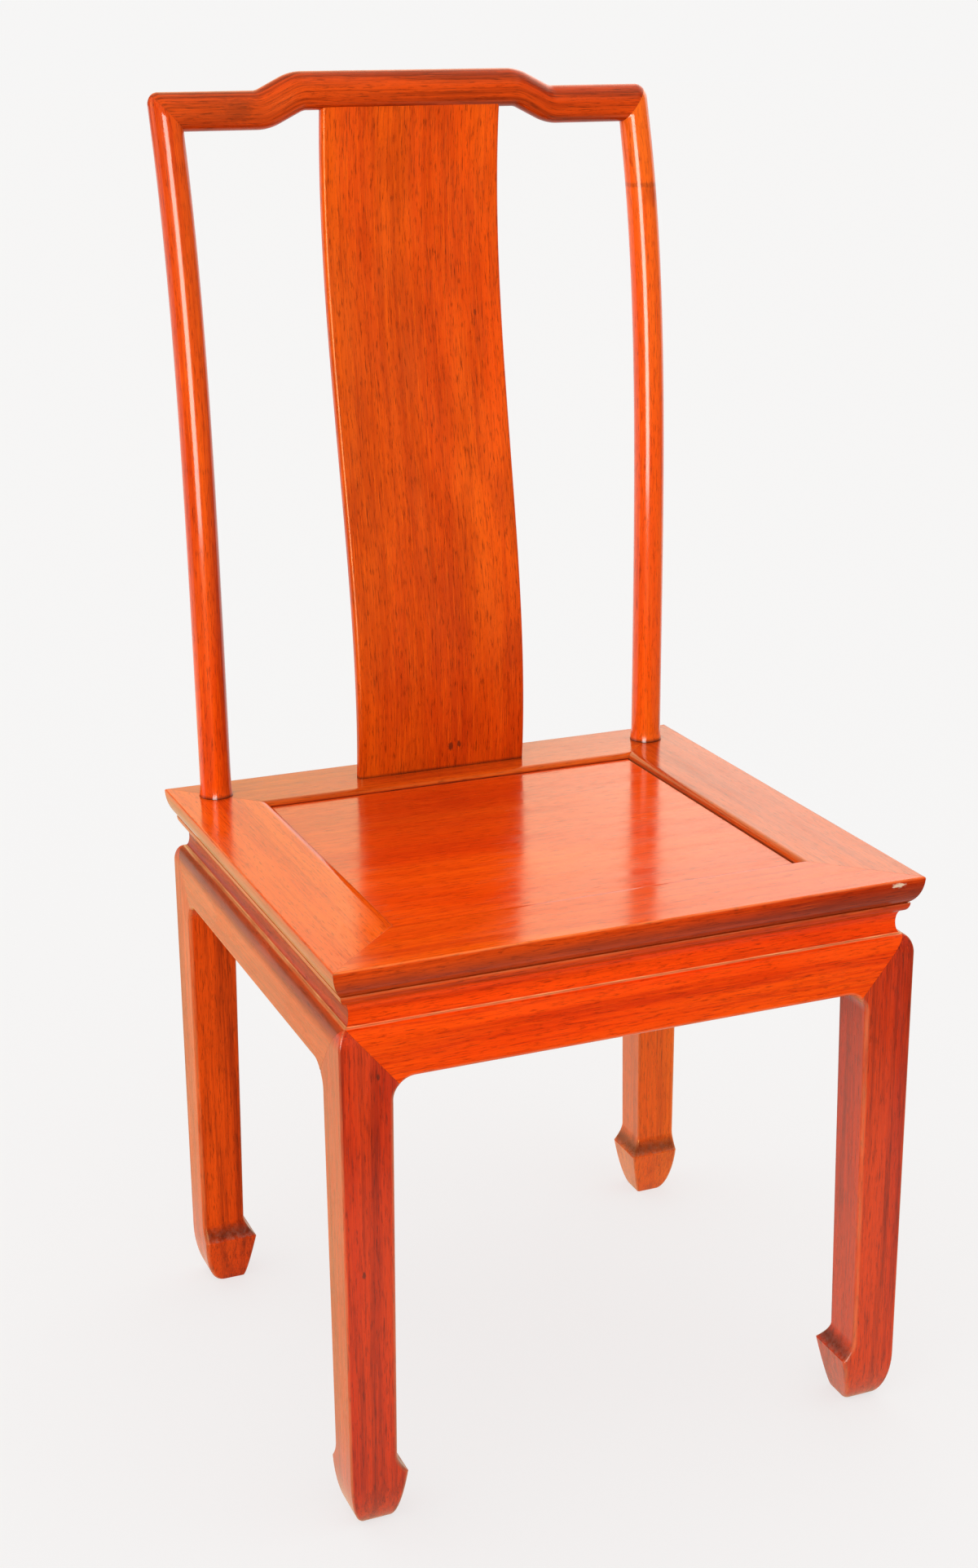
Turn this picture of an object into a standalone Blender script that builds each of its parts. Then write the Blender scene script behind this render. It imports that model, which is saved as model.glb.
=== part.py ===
"""A Ming-style side chair: a waisted seat on four hoof-footed legs, with a curved back tenoned into it.

Metres, +Z up. The front of the chair faces -Y, and the origin is on the floor under the middle of its box.
Each piece of timber is one object, cut with the joints that hold the real chair together.
"""

import math

import bmesh
import bpy
from mathutils import Matrix, Vector

# Overall sizes of the seat, and the gap left between pieces that touch
SEAT_HEIGHT = 0.460
SEAT_WIDTH = 0.480
SEAT_DEPTH = 0.446
FIT = 0.0003

# Seat frame: four mitred members, each with an ovolo, a quirk and a rounded lip on the outer edge
FRAME_MEMBER = 0.072
ARRIS = 0.0008
OVOLO_HEIGHT = 0.022
OVOLO_REACH = 0.0083
OVOLO_TURN = math.radians(67)
QUIRK_DEPTH = 0.0012
QUIRK_HEIGHT = 0.0008
LIP_INSET = 0.0076
LIP_HEIGHT = 0.0072
LIP_FOOT_INSET = 0.0125
INNER_ROUND_WIDTH = 0.0075

# Mitre tenons of the front and back members, and the mortises for them in the side members
MITRE_TENON_INSET = 0.046
MITRE_TENON_WIDTH = 0.017
MITRE_TENON_THICKNESS = 0.009
MITRE_TENON_DROP = 0.0125
MITRE_TENON_COVER = 0.018

# Floating seat panel, tongued into the frame
PANEL_RECESS = 0.004
PANEL_THICKNESS = 0.010
PANEL_GAP = 0.0008
TONGUE_THICKNESS = 0.004
TONGUE_COVER = 0.003
TONGUE_LENGTH = 0.006

# Battens dovetailed across the underside of the panel
BATTEN_SPACING = 0.170
BATTEN_WIDTH = 0.020
BATTEN_LIFT = 0.0015
DOVETAIL_NECK = 0.009
DOVETAIL_HEAD = 0.012
DOVETAIL_HEIGHT = 0.004
BATTEN_TENON_WIDTH = 0.009
BATTEN_TENON_HEIGHT = 0.008
BATTEN_TENON_LENGTH = 0.006

# Waist: a coved strip between the seat frame and each apron
WAIST_HEIGHT = 0.019
WAIST_INSET = 0.0125
COVE_DEPTH = 0.0031
WAIST_TONGUE_WIDTH = 0.003
WAIST_TONGUE_HEIGHT = 0.0035

# Aprons, mitred to the legs
LEG_INSET = 0.004
APRON_HEIGHT = 0.0418
APRON_THICKNESS = 0.020
SHOULDER_REACH = 0.0078
SHOULDER_HEIGHT = 0.0150
ARCH_RADIUS = 0.017
EDGE_ROUND = 0.0035

# Hoof-footed legs
LEG_TOP = 0.041
LEG_ANKLE = 0.0378
LEG_ARRIS = 0.0018
HOOF_SPREAD = 0.0465
HOOF_TIP_HEIGHT = 0.0425
HOOF_LEDGE_HEIGHT = 0.0165
LEDGE_HOLLOW = 1.7
FOOT_INSET = 0.0145
FOOT_SIZE = 0.022

# Joint at the head of each leg: a core behind the aprons, hanging pins, and tenons into the frame
CORE_MARGIN = 0.001
PIN_DEPTH = 0.007
PIN_NECK = 0.007
PIN_HEAD = 0.010
PIN_COVER = 0.006
LEG_TENON_WIDTH = 0.007
LEG_TENON_THICKNESS = 0.006
LEG_TENON_HEIGHT = 0.014

# Back posts: round, splayed a little, swept back towards the crest
POST_RADIUS = 0.0132
POST_SIDE_INSET = 0.0363
POST_BACK_INSET = 0.0337
POST_SPLAY = 0.003
POST_LEAN = 0.0045
POST_SWEEP = 0.045
POST_SWEEP_POWER = 4
POST_FLARE = 0.0012
POST_FLARE_HEIGHT = 0.012
POST_TENON_RADIUS = 0.0062
POST_TENON_REACH = 0.022

# Crest rail, stepped up in the middle and mitred to the posts
BACK_HEIGHT = 0.5735
CREST_HEIGHT = 0.0305
CREST_RISE = 0.0145
STEP_START = 0.1325
STEP_LENGTH = 0.042
STEP_BEND = 0.3
CORNER_EASE = 0.009
CREST_TENON_SIZE = 0.009
CREST_TENON_RISE = 0.006

# Splat: a board bent in an S, housed in the back member and the crest
SPLAT_WIDTH = 0.1575
SPLAT_TAPER = 0.0025
SPLAT_THICKNESS = 0.010
SPLAT_EDGE_ROUND = 0.0022
SPLAT_BACK_INSET = 0.0385
SPLAT_SWING = 0.0557
SPLAT_LOW_POINT = 0.10
SPLAT_HIGH_POINT = 0.88
SPLAT_HOUSING = 0.011

# How finely curves are divided
ROUND_SIDES = 20
CORNER_STEPS = 3
CURVE_STEPS = 6

# Heights that follow from the stack of pieces
FRAME_THICKNESS = OVOLO_HEIGHT + QUIRK_HEIGHT + LIP_HEIGHT
FRAME_BOTTOM = SEAT_HEIGHT - FRAME_THICKNESS
APRON_TOP = FRAME_BOTTOM - WAIST_HEIGHT
APRON_BOTTOM = APRON_TOP - APRON_HEIGHT
ARCH_START = APRON_BOTTOM - ARCH_RADIUS
PANEL_TOP = SEAT_HEIGHT - PANEL_RECESS
PANEL_BOTTOM = PANEL_TOP - PANEL_THICKNESS
TONGUE_TOP = PANEL_TOP - TONGUE_COVER
CREST_CENTRE = SEAT_HEIGHT + BACK_HEIGHT - CREST_HEIGHT / 2

# Places that follow from the widths, measured inward from the outer edge of the seat
BACK_OF_APRON = LEG_INSET + APRON_THICKNESS
CORE_START = BACK_OF_APRON + FIT
CORE_END = LEG_INSET + LEG_TOP - CORE_MARGIN
CORE_MIDDLE = (CORE_START + CORE_END) / 2

# Places in the chair measured from the middle of the seat
POST_X = SEAT_WIDTH / 2 - POST_SIDE_INSET
POST_Y = SEAT_DEPTH / 2 - POST_BACK_INSET
SPLAT_Y = SEAT_DEPTH / 2 - SPLAT_BACK_INSET
CREST_X = POST_X + POST_SPLAY

# Each side of the seat: its turn about Z, how far out its edge lies and half its length
SIDES = {
    "front": (0.0, SEAT_DEPTH / 2, SEAT_WIDTH / 2),
    "right": (math.pi / 2, SEAT_WIDTH / 2, SEAT_DEPTH / 2),
    "back": (math.pi, SEAT_DEPTH / 2, SEAT_WIDTH / 2),
    "left": (-math.pi / 2, SEAT_WIDTH / 2, SEAT_DEPTH / 2),
}

# Finish of each kind of piece: colour and roughness
FINISHES = {
    "frame": ((0.50, 0.105, 0.026), 0.30),
    "panel": ((0.56, 0.120, 0.026), 0.28),
    "waist": ((0.48, 0.085, 0.018), 0.34),
    "apron": ((0.47, 0.075, 0.015), 0.34),
    "leg": ((0.40, 0.060, 0.016), 0.36),
    "back": ((0.46, 0.080, 0.012), 0.32),
    "splat": ((0.42, 0.070, 0.009), 0.36),
    "hidden": ((0.36, 0.090, 0.030), 0.55),
}


# Scene and object helpers


def clear_scene():
    for old in list(bpy.data.objects):
        bpy.data.objects.remove(old)


def new_collection(name):
    collection = bpy.data.collections.new(name)
    bpy.context.scene.collection.children.link(collection)
    return collection


def finish(name, kind):
    """One material for one piece, in the finish of its kind."""
    colour, roughness = FINISHES[kind]
    material = bpy.data.materials.new(f"{name}_rosewood")
    material.use_nodes = True
    shader = material.node_tree.nodes["Principled BSDF"]
    shader.inputs["Base Color"].default_value = (*colour, 1.0)
    shader.inputs["Roughness"].default_value = roughness
    shader.inputs["Metallic"].default_value = 0.0
    return material


def object_from(bm, name):
    """A linked mesh object made from a bmesh, with its faces turned outward."""
    bmesh.ops.recalc_face_normals(bm, faces=bm.faces)
    mesh = bpy.data.meshes.new(name)
    bm.to_mesh(mesh)
    bm.free()
    piece = bpy.data.objects.new(name, mesh)
    bpy.context.scene.collection.objects.link(piece)
    return piece


def move_to(piece, collection):
    for old in list(piece.users_collection):
        old.objects.unlink(piece)
    collection.objects.link(piece)


def keep(piece, kind, smooth_angle=35):
    """Files a finished piece with the chair's parts and gives it its finish."""
    move_to(piece, bpy.data.collections["ming_side_chair"])
    piece.data.materials.append(finish(piece.name, kind))
    piece.data.shade_smooth()
    piece.data.set_sharp_from_angle(angle=math.radians(smooth_angle))
    return piece


def shape(piece, other, operation):
    """Joins another solid to a piece or cuts it away; the other solid is kept as a guide."""
    move_to(other, bpy.data.collections["joinery_cutters"])
    other.hide_render = True
    other.display_type = "WIRE"
    step = piece.modifiers.new(other.name, "BOOLEAN")
    step.operation = operation
    step.solver = "EXACT"
    step.object = other


# Ways of making solids


def block(name, low, high):
    """A box between two corners."""
    bm = bmesh.new()
    bmesh.ops.create_cube(bm, size=1.0)
    size = [abs(b - a) for a, b in zip(low, high)]
    middle = [(a + b) / 2 for a, b in zip(low, high)]
    bmesh.ops.transform(bm, matrix=Matrix.LocRotScale(middle, None, size), verts=bm.verts)
    return object_from(bm, name)


def rod(name, centre, radius, bottom, top):
    """An upright round rod."""
    bm = bmesh.new()
    bmesh.ops.create_cone(
        bm, cap_ends=True, segments=ROUND_SIDES, radius1=radius, radius2=radius, depth=top - bottom
    )
    bmesh.ops.translate(bm, vec=(*centre, (bottom + top) / 2), verts=bm.verts)
    return object_from(bm, name)


def extrusion(name, outline, length, place):
    """A flat outline made length thick, half on each side of its plane, and moved to its place."""
    curve = bpy.data.curves.new(name, "CURVE")
    curve.dimensions = "2D"
    curve.fill_mode = "BOTH"
    curve.extrude = length / 2
    spline = curve.splines.new("POLY")
    spline.points.add(len(outline) - 1)
    for point, (u, v) in zip(spline.points, outline):
        point.co = (u, v, 0.0, 1.0)
    spline.use_cyclic_u = True
    source = bpy.data.objects.new(f"{name}_outline", curve)
    bpy.context.scene.collection.objects.link(source)
    graph = bpy.context.evaluated_depsgraph_get()
    bm = bmesh.new()
    flat = bpy.data.meshes.new_from_object(source.evaluated_get(graph))
    bm.from_mesh(flat)
    bpy.data.meshes.remove(flat)
    bpy.data.objects.remove(source)
    bpy.data.curves.remove(curve)
    bmesh.ops.remove_doubles(bm, verts=bm.verts, dist=1e-6)
    bmesh.ops.dissolve_limit(bm, angle_limit=math.radians(0.5), verts=bm.verts, edges=bm.edges)
    bmesh.ops.transform(bm, matrix=place, verts=bm.verts)
    return object_from(bm, name)


def loft(name, rings):
    """A solid through a row of closed rings with the same number of points."""
    bm = bmesh.new()
    rows = [[bm.verts.new(point) for point in ring] for ring in rings]
    count = len(rings[0])
    for lower, upper in zip(rows, rows[1:]):
        for i in range(count):
            j = (i + 1) % count
            bm.faces.new((lower[i], lower[j], upper[j], upper[i]))
    bm.faces.new(rows[0])
    bm.faces.new(rows[-1])
    return object_from(bm, name)


def saw(piece, point, normal):
    """Cuts off what lies beyond a plane, on the side its normal points to, and closes the cut."""
    bm = bmesh.new()
    bm.from_mesh(piece.data)
    everything = bm.verts[:] + bm.edges[:] + bm.faces[:]
    result = bmesh.ops.bisect_plane(
        bm, geom=everything, dist=1e-7, plane_co=point, plane_no=normal, clear_outer=True
    )
    rim = [item for item in result["geom_cut"] if isinstance(item, bmesh.types.BMEdge)]
    bmesh.ops.edgeloop_fill(bm, edges=rim)
    bmesh.ops.recalc_face_normals(bm, faces=bm.faces)
    bm.to_mesh(piece.data)
    bm.free()


# Shared geometry of the sides and corners of the seat


def steps(count):
    """Even fractions from 0 to 1."""
    return [i / count for i in range(count + 1)]


def side_turn(side):
    return Matrix.Rotation(SIDES[side][0], 4, "Z")


def run_along(side):
    """Lays an outline of (inset, height) points along a side of the seat."""
    outer = SIDES[side][1]
    stand = Matrix(((0, 0, 1, 0), (1, 0, 0, -outer), (0, 1, 0, 0), (0, 0, 0, 1)))
    return side_turn(side) @ stand


def saw_corner_mitres(piece, side):
    """Cuts both ends of a piece along the diagonals of the seat's corners."""
    _, outer, half = SIDES[side]
    turn = side_turn(side)
    for end in (-1, 1):
        point = turn @ Vector((end * (half - FIT / math.sqrt(2)), -outer, 0))
        saw(piece, point, turn.to_3x3() @ Vector((end, 1, 0)))


def corner_point(corner, inset_x, inset_y):
    """A place in plan, measured inward from the two edges of the seat that meet at a corner."""
    return corner[0] * (SEAT_WIDTH / 2 - inset_x), corner[1] * (SEAT_DEPTH / 2 - inset_y)


def corner_block(name, corner, span_x, span_y, span_z, grow=0.0):
    """A box at a corner from its spans of inset and height, made larger all round by grow."""
    low = corner_point(corner, span_x[0] - grow, span_y[0] - grow)
    high = corner_point(corner, span_x[1] + grow, span_y[1] + grow)
    return block(name, (*low, span_z[0] - grow), (*high, span_z[1] + grow))


def corner_sides(corner):
    """The two sides that meet at a corner, each with the end of it that lies there."""
    across = ("front", corner[0]) if corner[1] < 0 else ("back", -corner[0])
    along = ("right", corner[1]) if corner[0] > 0 else ("left", -corner[1])
    return across, along


def shoulder_inset(height):
    """How far the rounded shoulder of the aprons and legs has drawn in at a height."""
    climb = (height - (APRON_TOP - SHOULDER_HEIGHT)) / SHOULDER_HEIGHT
    if climb <= 0:
        return 0.0
    return SHOULDER_REACH * (1 - math.sqrt(max(0.0, 1 - climb * climb)))


def shoulder_heights():
    return [APRON_TOP - SHOULDER_HEIGHT * (1 - math.sin(q * math.pi / 2)) for q in steps(CURVE_STEPS)]


# Seat frame


def frame_outline():
    """Section of a frame member as (inset, height): moulded edge, underside with a groove, inner edge."""
    top = SEAT_HEIGHT
    reach = OVOLO_REACH / (1 - math.cos(OVOLO_TURN))
    fall = OVOLO_HEIGHT / math.sin(OVOLO_TURN)
    outline = [(ARRIS, top)]
    for q in steps(CURVE_STEPS):
        turn = OVOLO_TURN * q
        outline.append((reach * (1 - math.cos(turn)), top - max(ARRIS, fall * math.sin(turn))))
    quirk_inset = max(OVOLO_REACH, LIP_INSET) + QUIRK_DEPTH
    lip_top = FRAME_BOTTOM + LIP_HEIGHT
    outline += [(quirk_inset, lip_top + QUIRK_HEIGHT), (quirk_inset, lip_top)]
    for q in steps(CURVE_STEPS - 2):
        turn = q * math.pi / 2
        inset = LIP_INSET + (LIP_FOOT_INSET - LIP_INSET) * (1 - math.cos(turn))
        outline.append((inset, lip_top - LIP_HEIGHT * math.sin(turn)))
    groove_start, groove_end = waist_tongue_span(FIT)
    groove_top = FRAME_BOTTOM + WAIST_TONGUE_HEIGHT + FIT
    outline += [(groove_start, FRAME_BOTTOM), (groove_start, groove_top)]
    outline += [(groove_end, groove_top), (groove_end, FRAME_BOTTOM)]
    outline += [(FRAME_MEMBER - ARRIS, FRAME_BOTTOM), (FRAME_MEMBER, FRAME_BOTTOM + ARRIS)]
    groove_back = FRAME_MEMBER - PANEL_GAP - TONGUE_LENGTH - FIT
    tongue_bottom = TONGUE_TOP - TONGUE_THICKNESS
    outline += [(FRAME_MEMBER, tongue_bottom - FIT), (groove_back, tongue_bottom - FIT)]
    outline += [(groove_back, TONGUE_TOP + FIT), (FRAME_MEMBER, TONGUE_TOP + FIT)]
    for q in steps(CURVE_STEPS - 1):
        turn = q * math.pi / 2
        inset = FRAME_MEMBER - INNER_ROUND_WIDTH * (1 - math.cos(turn))
        outline.append((inset, PANEL_TOP + PANEL_RECESS * math.sin(turn)))
    return outline


def mitre_tenon(name, corner, grow=0.0):
    """The tenon that runs from the front or back member into the side member at a corner."""
    tenon_top = SEAT_HEIGHT - MITRE_TENON_DROP
    end = MITRE_TENON_INSET + MITRE_TENON_WIDTH
    return corner_block(
        name,
        corner,
        (MITRE_TENON_COVER, end + MITRE_TENON_WIDTH / 2),
        (MITRE_TENON_INSET, end),
        (tenon_top - MITRE_TENON_THICKNESS, tenon_top),
        grow,
    )


def leg_tenon_spans(along_side):
    """Plan spans of a leg's tenon on its own side of the mitre, in the corner of the core."""
    far = CORE_END - CORE_MARGIN
    near = CORE_START + CORE_MARGIN
    wide = (far - LEG_TENON_WIDTH, far)
    thin = (near, near + LEG_TENON_THICKNESS)
    return (thin, wide) if along_side else (wide, thin)


def leg_tenon(name, corner, along_side, grow=0.0):
    """One of the two tenons on a front leg, from inside its core up into a frame member."""
    span_x, span_y = leg_tenon_spans(along_side)
    span_z = (FRAME_BOTTOM - LEG_TENON_HEIGHT, FRAME_BOTTOM + LEG_TENON_HEIGHT)
    return corner_block(name, corner, span_x, span_y, span_z, grow)


def post_tenon_rod(name, corner, radius, top):
    """The round tenon of a post, or a hole for it, down through the frame into the leg."""
    bottom = FRAME_BOTTOM - POST_TENON_REACH - FIT
    return rod(name, corner_point(corner, CORE_MIDDLE, CORE_MIDDLE), radius, bottom, top)


def side_corners(side):
    corners = {
        "front": ((-1, -1), (1, -1)),
        "right": ((1, -1), (1, 1)),
        "back": ((1, 1), (-1, 1)),
        "left": ((-1, 1), (-1, -1)),
    }
    return corners[side]


def corner_name(corner):
    front_back = "front" if corner[1] < 0 else "back"
    return f"{front_back}_{'left' if corner[0] < 0 else 'right'}"


def build_frame_member(side):
    """One mitred member with its tenons or mortises and the sockets for what stands in and under it."""
    half = SIDES[side][2]
    member = extrusion(f"seat_{side}_rail", frame_outline(), 2 * half, run_along(side))
    saw_corner_mitres(member, side)
    along_side = side in ("left", "right")
    for corner in side_corners(side):
        place = corner_name(corner)
        if along_side:
            shape(member, mitre_tenon(f"{side}_{place}_mortise", corner, FIT), "DIFFERENCE")
        else:
            shape(member, mitre_tenon(f"{side}_{place}_tenon", corner), "UNION")
        if corner[1] < 0:
            socket = leg_tenon(f"{side}_{place}_leg_socket", corner, along_side, FIT)
        else:
            top = SEAT_HEIGHT + POST_FLARE_HEIGHT
            socket = post_tenon_rod(f"{side}_{place}_post_hole", corner, POST_TENON_RADIUS + FIT, top)
        shape(member, socket, "DIFFERENCE")
    if side in ("front", "back"):
        for x in batten_places():
            shape(member, batten_tenon(f"{side}_batten_mortise", x, side, FIT), "DIFFERENCE")
    if side == "back":
        foot = SEAT_HEIGHT - SPLAT_HOUSING
        housing = loft("splat_foot_housing", splat_rings(foot - FIT, SEAT_HEIGHT + SPLAT_HOUSING, FIT))
        shape(member, housing, "DIFFERENCE")
    return keep(member, "frame")


# Seat panel and its battens


def panel_half_sizes():
    return SEAT_WIDTH / 2 - FRAME_MEMBER - PANEL_GAP, SEAT_DEPTH / 2 - FRAME_MEMBER - PANEL_GAP


def build_panel():
    """The floating panel: a board whose tongue runs all round in the groove of the frame."""
    half_x, half_y = panel_half_sizes()
    panel = block("seat_panel", (-half_x, -half_y, PANEL_BOTTOM), (half_x, half_y, PANEL_TOP))
    reach_x, reach_y = half_x + TONGUE_LENGTH, half_y + TONGUE_LENGTH
    tongue_bottom = TONGUE_TOP - TONGUE_THICKNESS
    tongue = block("panel_tongue", (-reach_x, -reach_y, tongue_bottom), (reach_x, reach_y, TONGUE_TOP))
    shape(panel, tongue, "UNION")
    for x in batten_places():
        outline = batten_outline(FIT)
        groove = extrusion("batten_groove", outline, SEAT_DEPTH, batten_stand(x))
        shape(panel, groove, "DIFFERENCE")
    return keep(panel, "panel")


def batten_places():
    return (-BATTEN_SPACING / 2, BATTEN_SPACING / 2)


def batten_stand(x):
    """Stands a batten's section, drawn as (across, height), to run from front to back."""
    return Matrix(((-1, 0, 0, x), (0, 0, 1, 0), (0, 1, 0, 0), (0, 0, 0, 1)))


def batten_outline(grow):
    """Section of a batten with the dovetail on its top edge, enlarged by grow."""
    neck = DOVETAIL_NECK / 2 + grow
    head = DOVETAIL_HEAD / 2 + grow
    half = BATTEN_WIDTH / 2 + grow
    bottom = FRAME_BOTTOM + BATTEN_LIFT - grow
    shoulder = PANEL_BOTTOM - FIT + grow
    crown = PANEL_BOTTOM + DOVETAIL_HEIGHT - FIT + grow
    right = [(half, bottom), (half, shoulder), (neck, shoulder), (head, crown)]
    return right + [(-u, v) for u, v in reversed(right)]


def batten_tenon(name, x, side, grow=0.0):
    """The stub tenon at one end of a batten, set into the inner face of the frame."""
    sign = -1 if side == "front" else 1
    inner = SEAT_DEPTH / 2 - FRAME_MEMBER
    bottom = FRAME_BOTTOM + BATTEN_LIFT + ARRIS
    half = BATTEN_TENON_WIDTH / 2 + grow
    low = (x - half, sign * (inner - BATTEN_TENON_LENGTH), bottom - grow)
    high = (x + half, sign * (inner + BATTEN_TENON_LENGTH + grow), bottom + BATTEN_TENON_HEIGHT + grow)
    return block(name, low, high)


def build_batten(name, x):
    length = SEAT_DEPTH - 2 * FRAME_MEMBER - 2 * FIT
    batten = extrusion(name, batten_outline(0.0), length, batten_stand(x))
    for side in ("front", "back"):
        shape(batten, batten_tenon(f"{name}_{side}_tenon", x, side), "UNION")
    return keep(batten, "hidden")


# Waist


def waist_tongue_span(grow):
    """Insets between which the tongue on top of the waist stands."""
    end = BACK_OF_APRON - WAIST_TONGUE_WIDTH / 2
    return end - WAIST_TONGUE_WIDTH - grow, end + grow


def build_waist(side):
    """A strip with a hollow face, tongued up into the frame and mitred at its ends."""
    bottom = APRON_TOP + FIT
    top = FRAME_BOTTOM - FIT
    outline = []
    for q in steps(CURVE_STEPS + 2):
        turn = q * math.pi
        inset = WAIST_INSET + COVE_DEPTH * math.sin(turn)
        outline.append((inset, (top + bottom) / 2 + (top - bottom) / 2 * math.cos(turn)))
    start, end = waist_tongue_span(0.0)
    tongue_top = FRAME_BOTTOM + WAIST_TONGUE_HEIGHT
    outline += [(BACK_OF_APRON, bottom), (BACK_OF_APRON, top)]
    outline += [(end, top), (end, tongue_top), (start, tongue_top), (start, top)]
    waist = extrusion(f"waist_{side}", outline, 2 * SIDES[side][2], run_along(side))
    saw_corner_mitres(waist, side)
    return keep(waist, "waist")


# Aprons


def apron_ring(side, along, bottom):
    """Section of an apron at a place along its side: shouldered face, rounded lower edge, plain back."""
    points = [(LEG_INSET + shoulder_inset(z), z) for z in reversed(shoulder_heights())]
    for q in steps(CORNER_STEPS):
        turn = q * math.pi / 2
        inset = LEG_INSET + EDGE_ROUND * (1 - math.cos(turn))
        points.append((inset, bottom + EDGE_ROUND * (1 - math.sin(turn))))
    points += [(BACK_OF_APRON, bottom), (BACK_OF_APRON, APRON_TOP)]
    turn = side_turn(side)
    outer = SIDES[side][1]
    return [turn @ Vector((along, inset - outer, z)) for inset, z in points]


def apron_stations(half):
    """Places along half an apron, each with the height of its lower edge, out past the mitre."""
    straight = half - LEG_INSET - LEG_TOP - ARCH_RADIUS
    stations = []
    for q in steps(CURVE_STEPS):
        turn = q * math.radians(60)
        stations.append((straight + ARCH_RADIUS * math.sin(turn), ARCH_START + ARCH_RADIUS * math.cos(turn)))
    return stations + [(half, stations[-1][1])]


def leg_mitre_plane(side, end, gap):
    """A point on the sloping joint between an apron and a leg, and its upward normal."""
    _, outer, half = SIDES[side]
    turn = side_turn(side)
    arch_drop = APRON_TOP - ARCH_START - ARCH_RADIUS * math.sin(math.pi / 4)
    arch_inset = LEG_TOP + ARCH_RADIUS * (1 - math.cos(math.pi / 4))
    normal = Vector((-end * arch_drop, 0, arch_inset - SHOULDER_REACH)).normalized()
    tip = Vector((end * (half - LEG_INSET - SHOULDER_REACH), -outer, APRON_TOP))
    return turn @ (tip + gap * normal), turn.to_3x3() @ normal


def hanging_pin(name, side, end, top, grow=0.0):
    """The dovetailed pin on the core of a leg that an apron hangs on, or the slot for it."""
    _, outer, half = SIDES[side]
    middle = end * (half - CORE_MIDDLE)
    nose = CORE_START - PIN_DEPTH - outer
    root = CORE_START + PIN_DEPTH - outer
    head = PIN_HEAD / 2 + grow
    tail = PIN_NECK - PIN_HEAD / 2 + grow
    outline = [(middle - head, nose - grow), (middle + head, nose - grow)]
    outline += [(middle + tail, root), (middle - tail, root)]
    bottom = ARCH_START
    place = side_turn(side) @ Matrix.Translation((0, 0, (bottom + top) / 2))
    return extrusion(name, outline, top - bottom, place)


def build_apron(side):
    """A rail with a rounded shoulder and an arched lower edge, hung on the legs at both ends."""
    half = SIDES[side][2]
    stations = apron_stations(half)
    rings = [apron_ring(side, -along, bottom) for along, bottom in reversed(stations)]
    rings += [apron_ring(side, along, bottom) for along, bottom in stations]
    apron = loft(f"apron_{side}", rings)
    saw_corner_mitres(apron, side)
    for end in (-1, 1):
        point, normal = leg_mitre_plane(side, end, FIT / 2)
        saw(apron, point, -normal)
        top = APRON_TOP - PIN_COVER + FIT
        slot = hanging_pin(f"{side}_slot_{'left' if end < 0 else 'right'}", side, end, top, FIT)
        shape(apron, slot, "DIFFERENCE")
    return keep(apron, "apron")


# Legs


def leg_levels():
    """Heights up a leg, each with how far its outer and inner faces lie in from the leg's outer corner."""
    levels = []
    for q in steps(CURVE_STEPS + 1):
        turn = (1 - q) * math.pi / 2
        height = HOOF_TIP_HEIGHT * (1 - math.sin(turn))
        outer = FOOT_INSET * (1 - math.cos(turn))
        slant = (height / HOOF_TIP_HEIGHT) ** 0.8
        foot = FOOT_INSET + FOOT_SIZE
        levels.append((height, outer, foot + (HOOF_SPREAD - foot) * slant))
    for q in steps(CURVE_STEPS - 1)[1:]:
        hollow = (1 - q) ** LEDGE_HOLLOW
        height = HOOF_TIP_HEIGHT + HOOF_LEDGE_HEIGHT * q
        levels.append((height, 0.0, LEG_ANKLE + (HOOF_SPREAD - LEG_ANKLE) * hollow))
    for q in steps(CURVE_STEPS):
        turn = q * math.pi / 4
        inner = LEG_TOP + ARCH_RADIUS * (1 - math.cos(turn))
        levels.append((ARCH_START + ARCH_RADIUS * math.sin(turn), 0.0, inner))
    widest = levels[-1][2]
    levels += [(height, shoulder_inset(height), widest) for height in shoulder_heights()]
    return levels


def leg_ring(corner, height, outer, inner):
    """A square section with rounded edges: crisp at the outer corner, softer along the inner edges."""
    corners = (
        (outer, outer, LEG_ARRIS, 180),
        (inner, outer, EDGE_ROUND, 270),
        (inner, inner, LEG_ARRIS, 0),
        (outer, inner, EDGE_ROUND, 90),
    )
    ring = []
    for u, v, radius, first in corners:
        centre_u = u + (radius if u == outer else -radius)
        centre_v = v + (radius if v == outer else -radius)
        for q in steps(CORNER_STEPS):
            turn = math.radians(first + 90 * q)
            inset_x = LEG_INSET + centre_u + radius * math.cos(turn)
            inset_y = LEG_INSET + centre_v + radius * math.sin(turn)
            ring.append((*corner_point(corner, inset_x, inset_y), height))
    return ring


def leg_core(name, corner):
    """The square stem behind the aprons, blunted on the diagonal, from inside the leg up to the frame."""
    low, high, blunt = CORE_START, CORE_END, CORE_MARGIN
    insets = [(low + blunt, low), (high, low), (high, high - blunt)]
    insets += [(high - blunt, high), (low, high), (low, low + blunt)]
    outline = [corner_point(corner, *inset) for inset in insets]
    bottom, top = ARCH_START - FIT, FRAME_BOTTOM - FIT
    return extrusion(name, outline, top - bottom, Matrix.Translation((0, 0, (bottom + top) / 2)))


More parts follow.
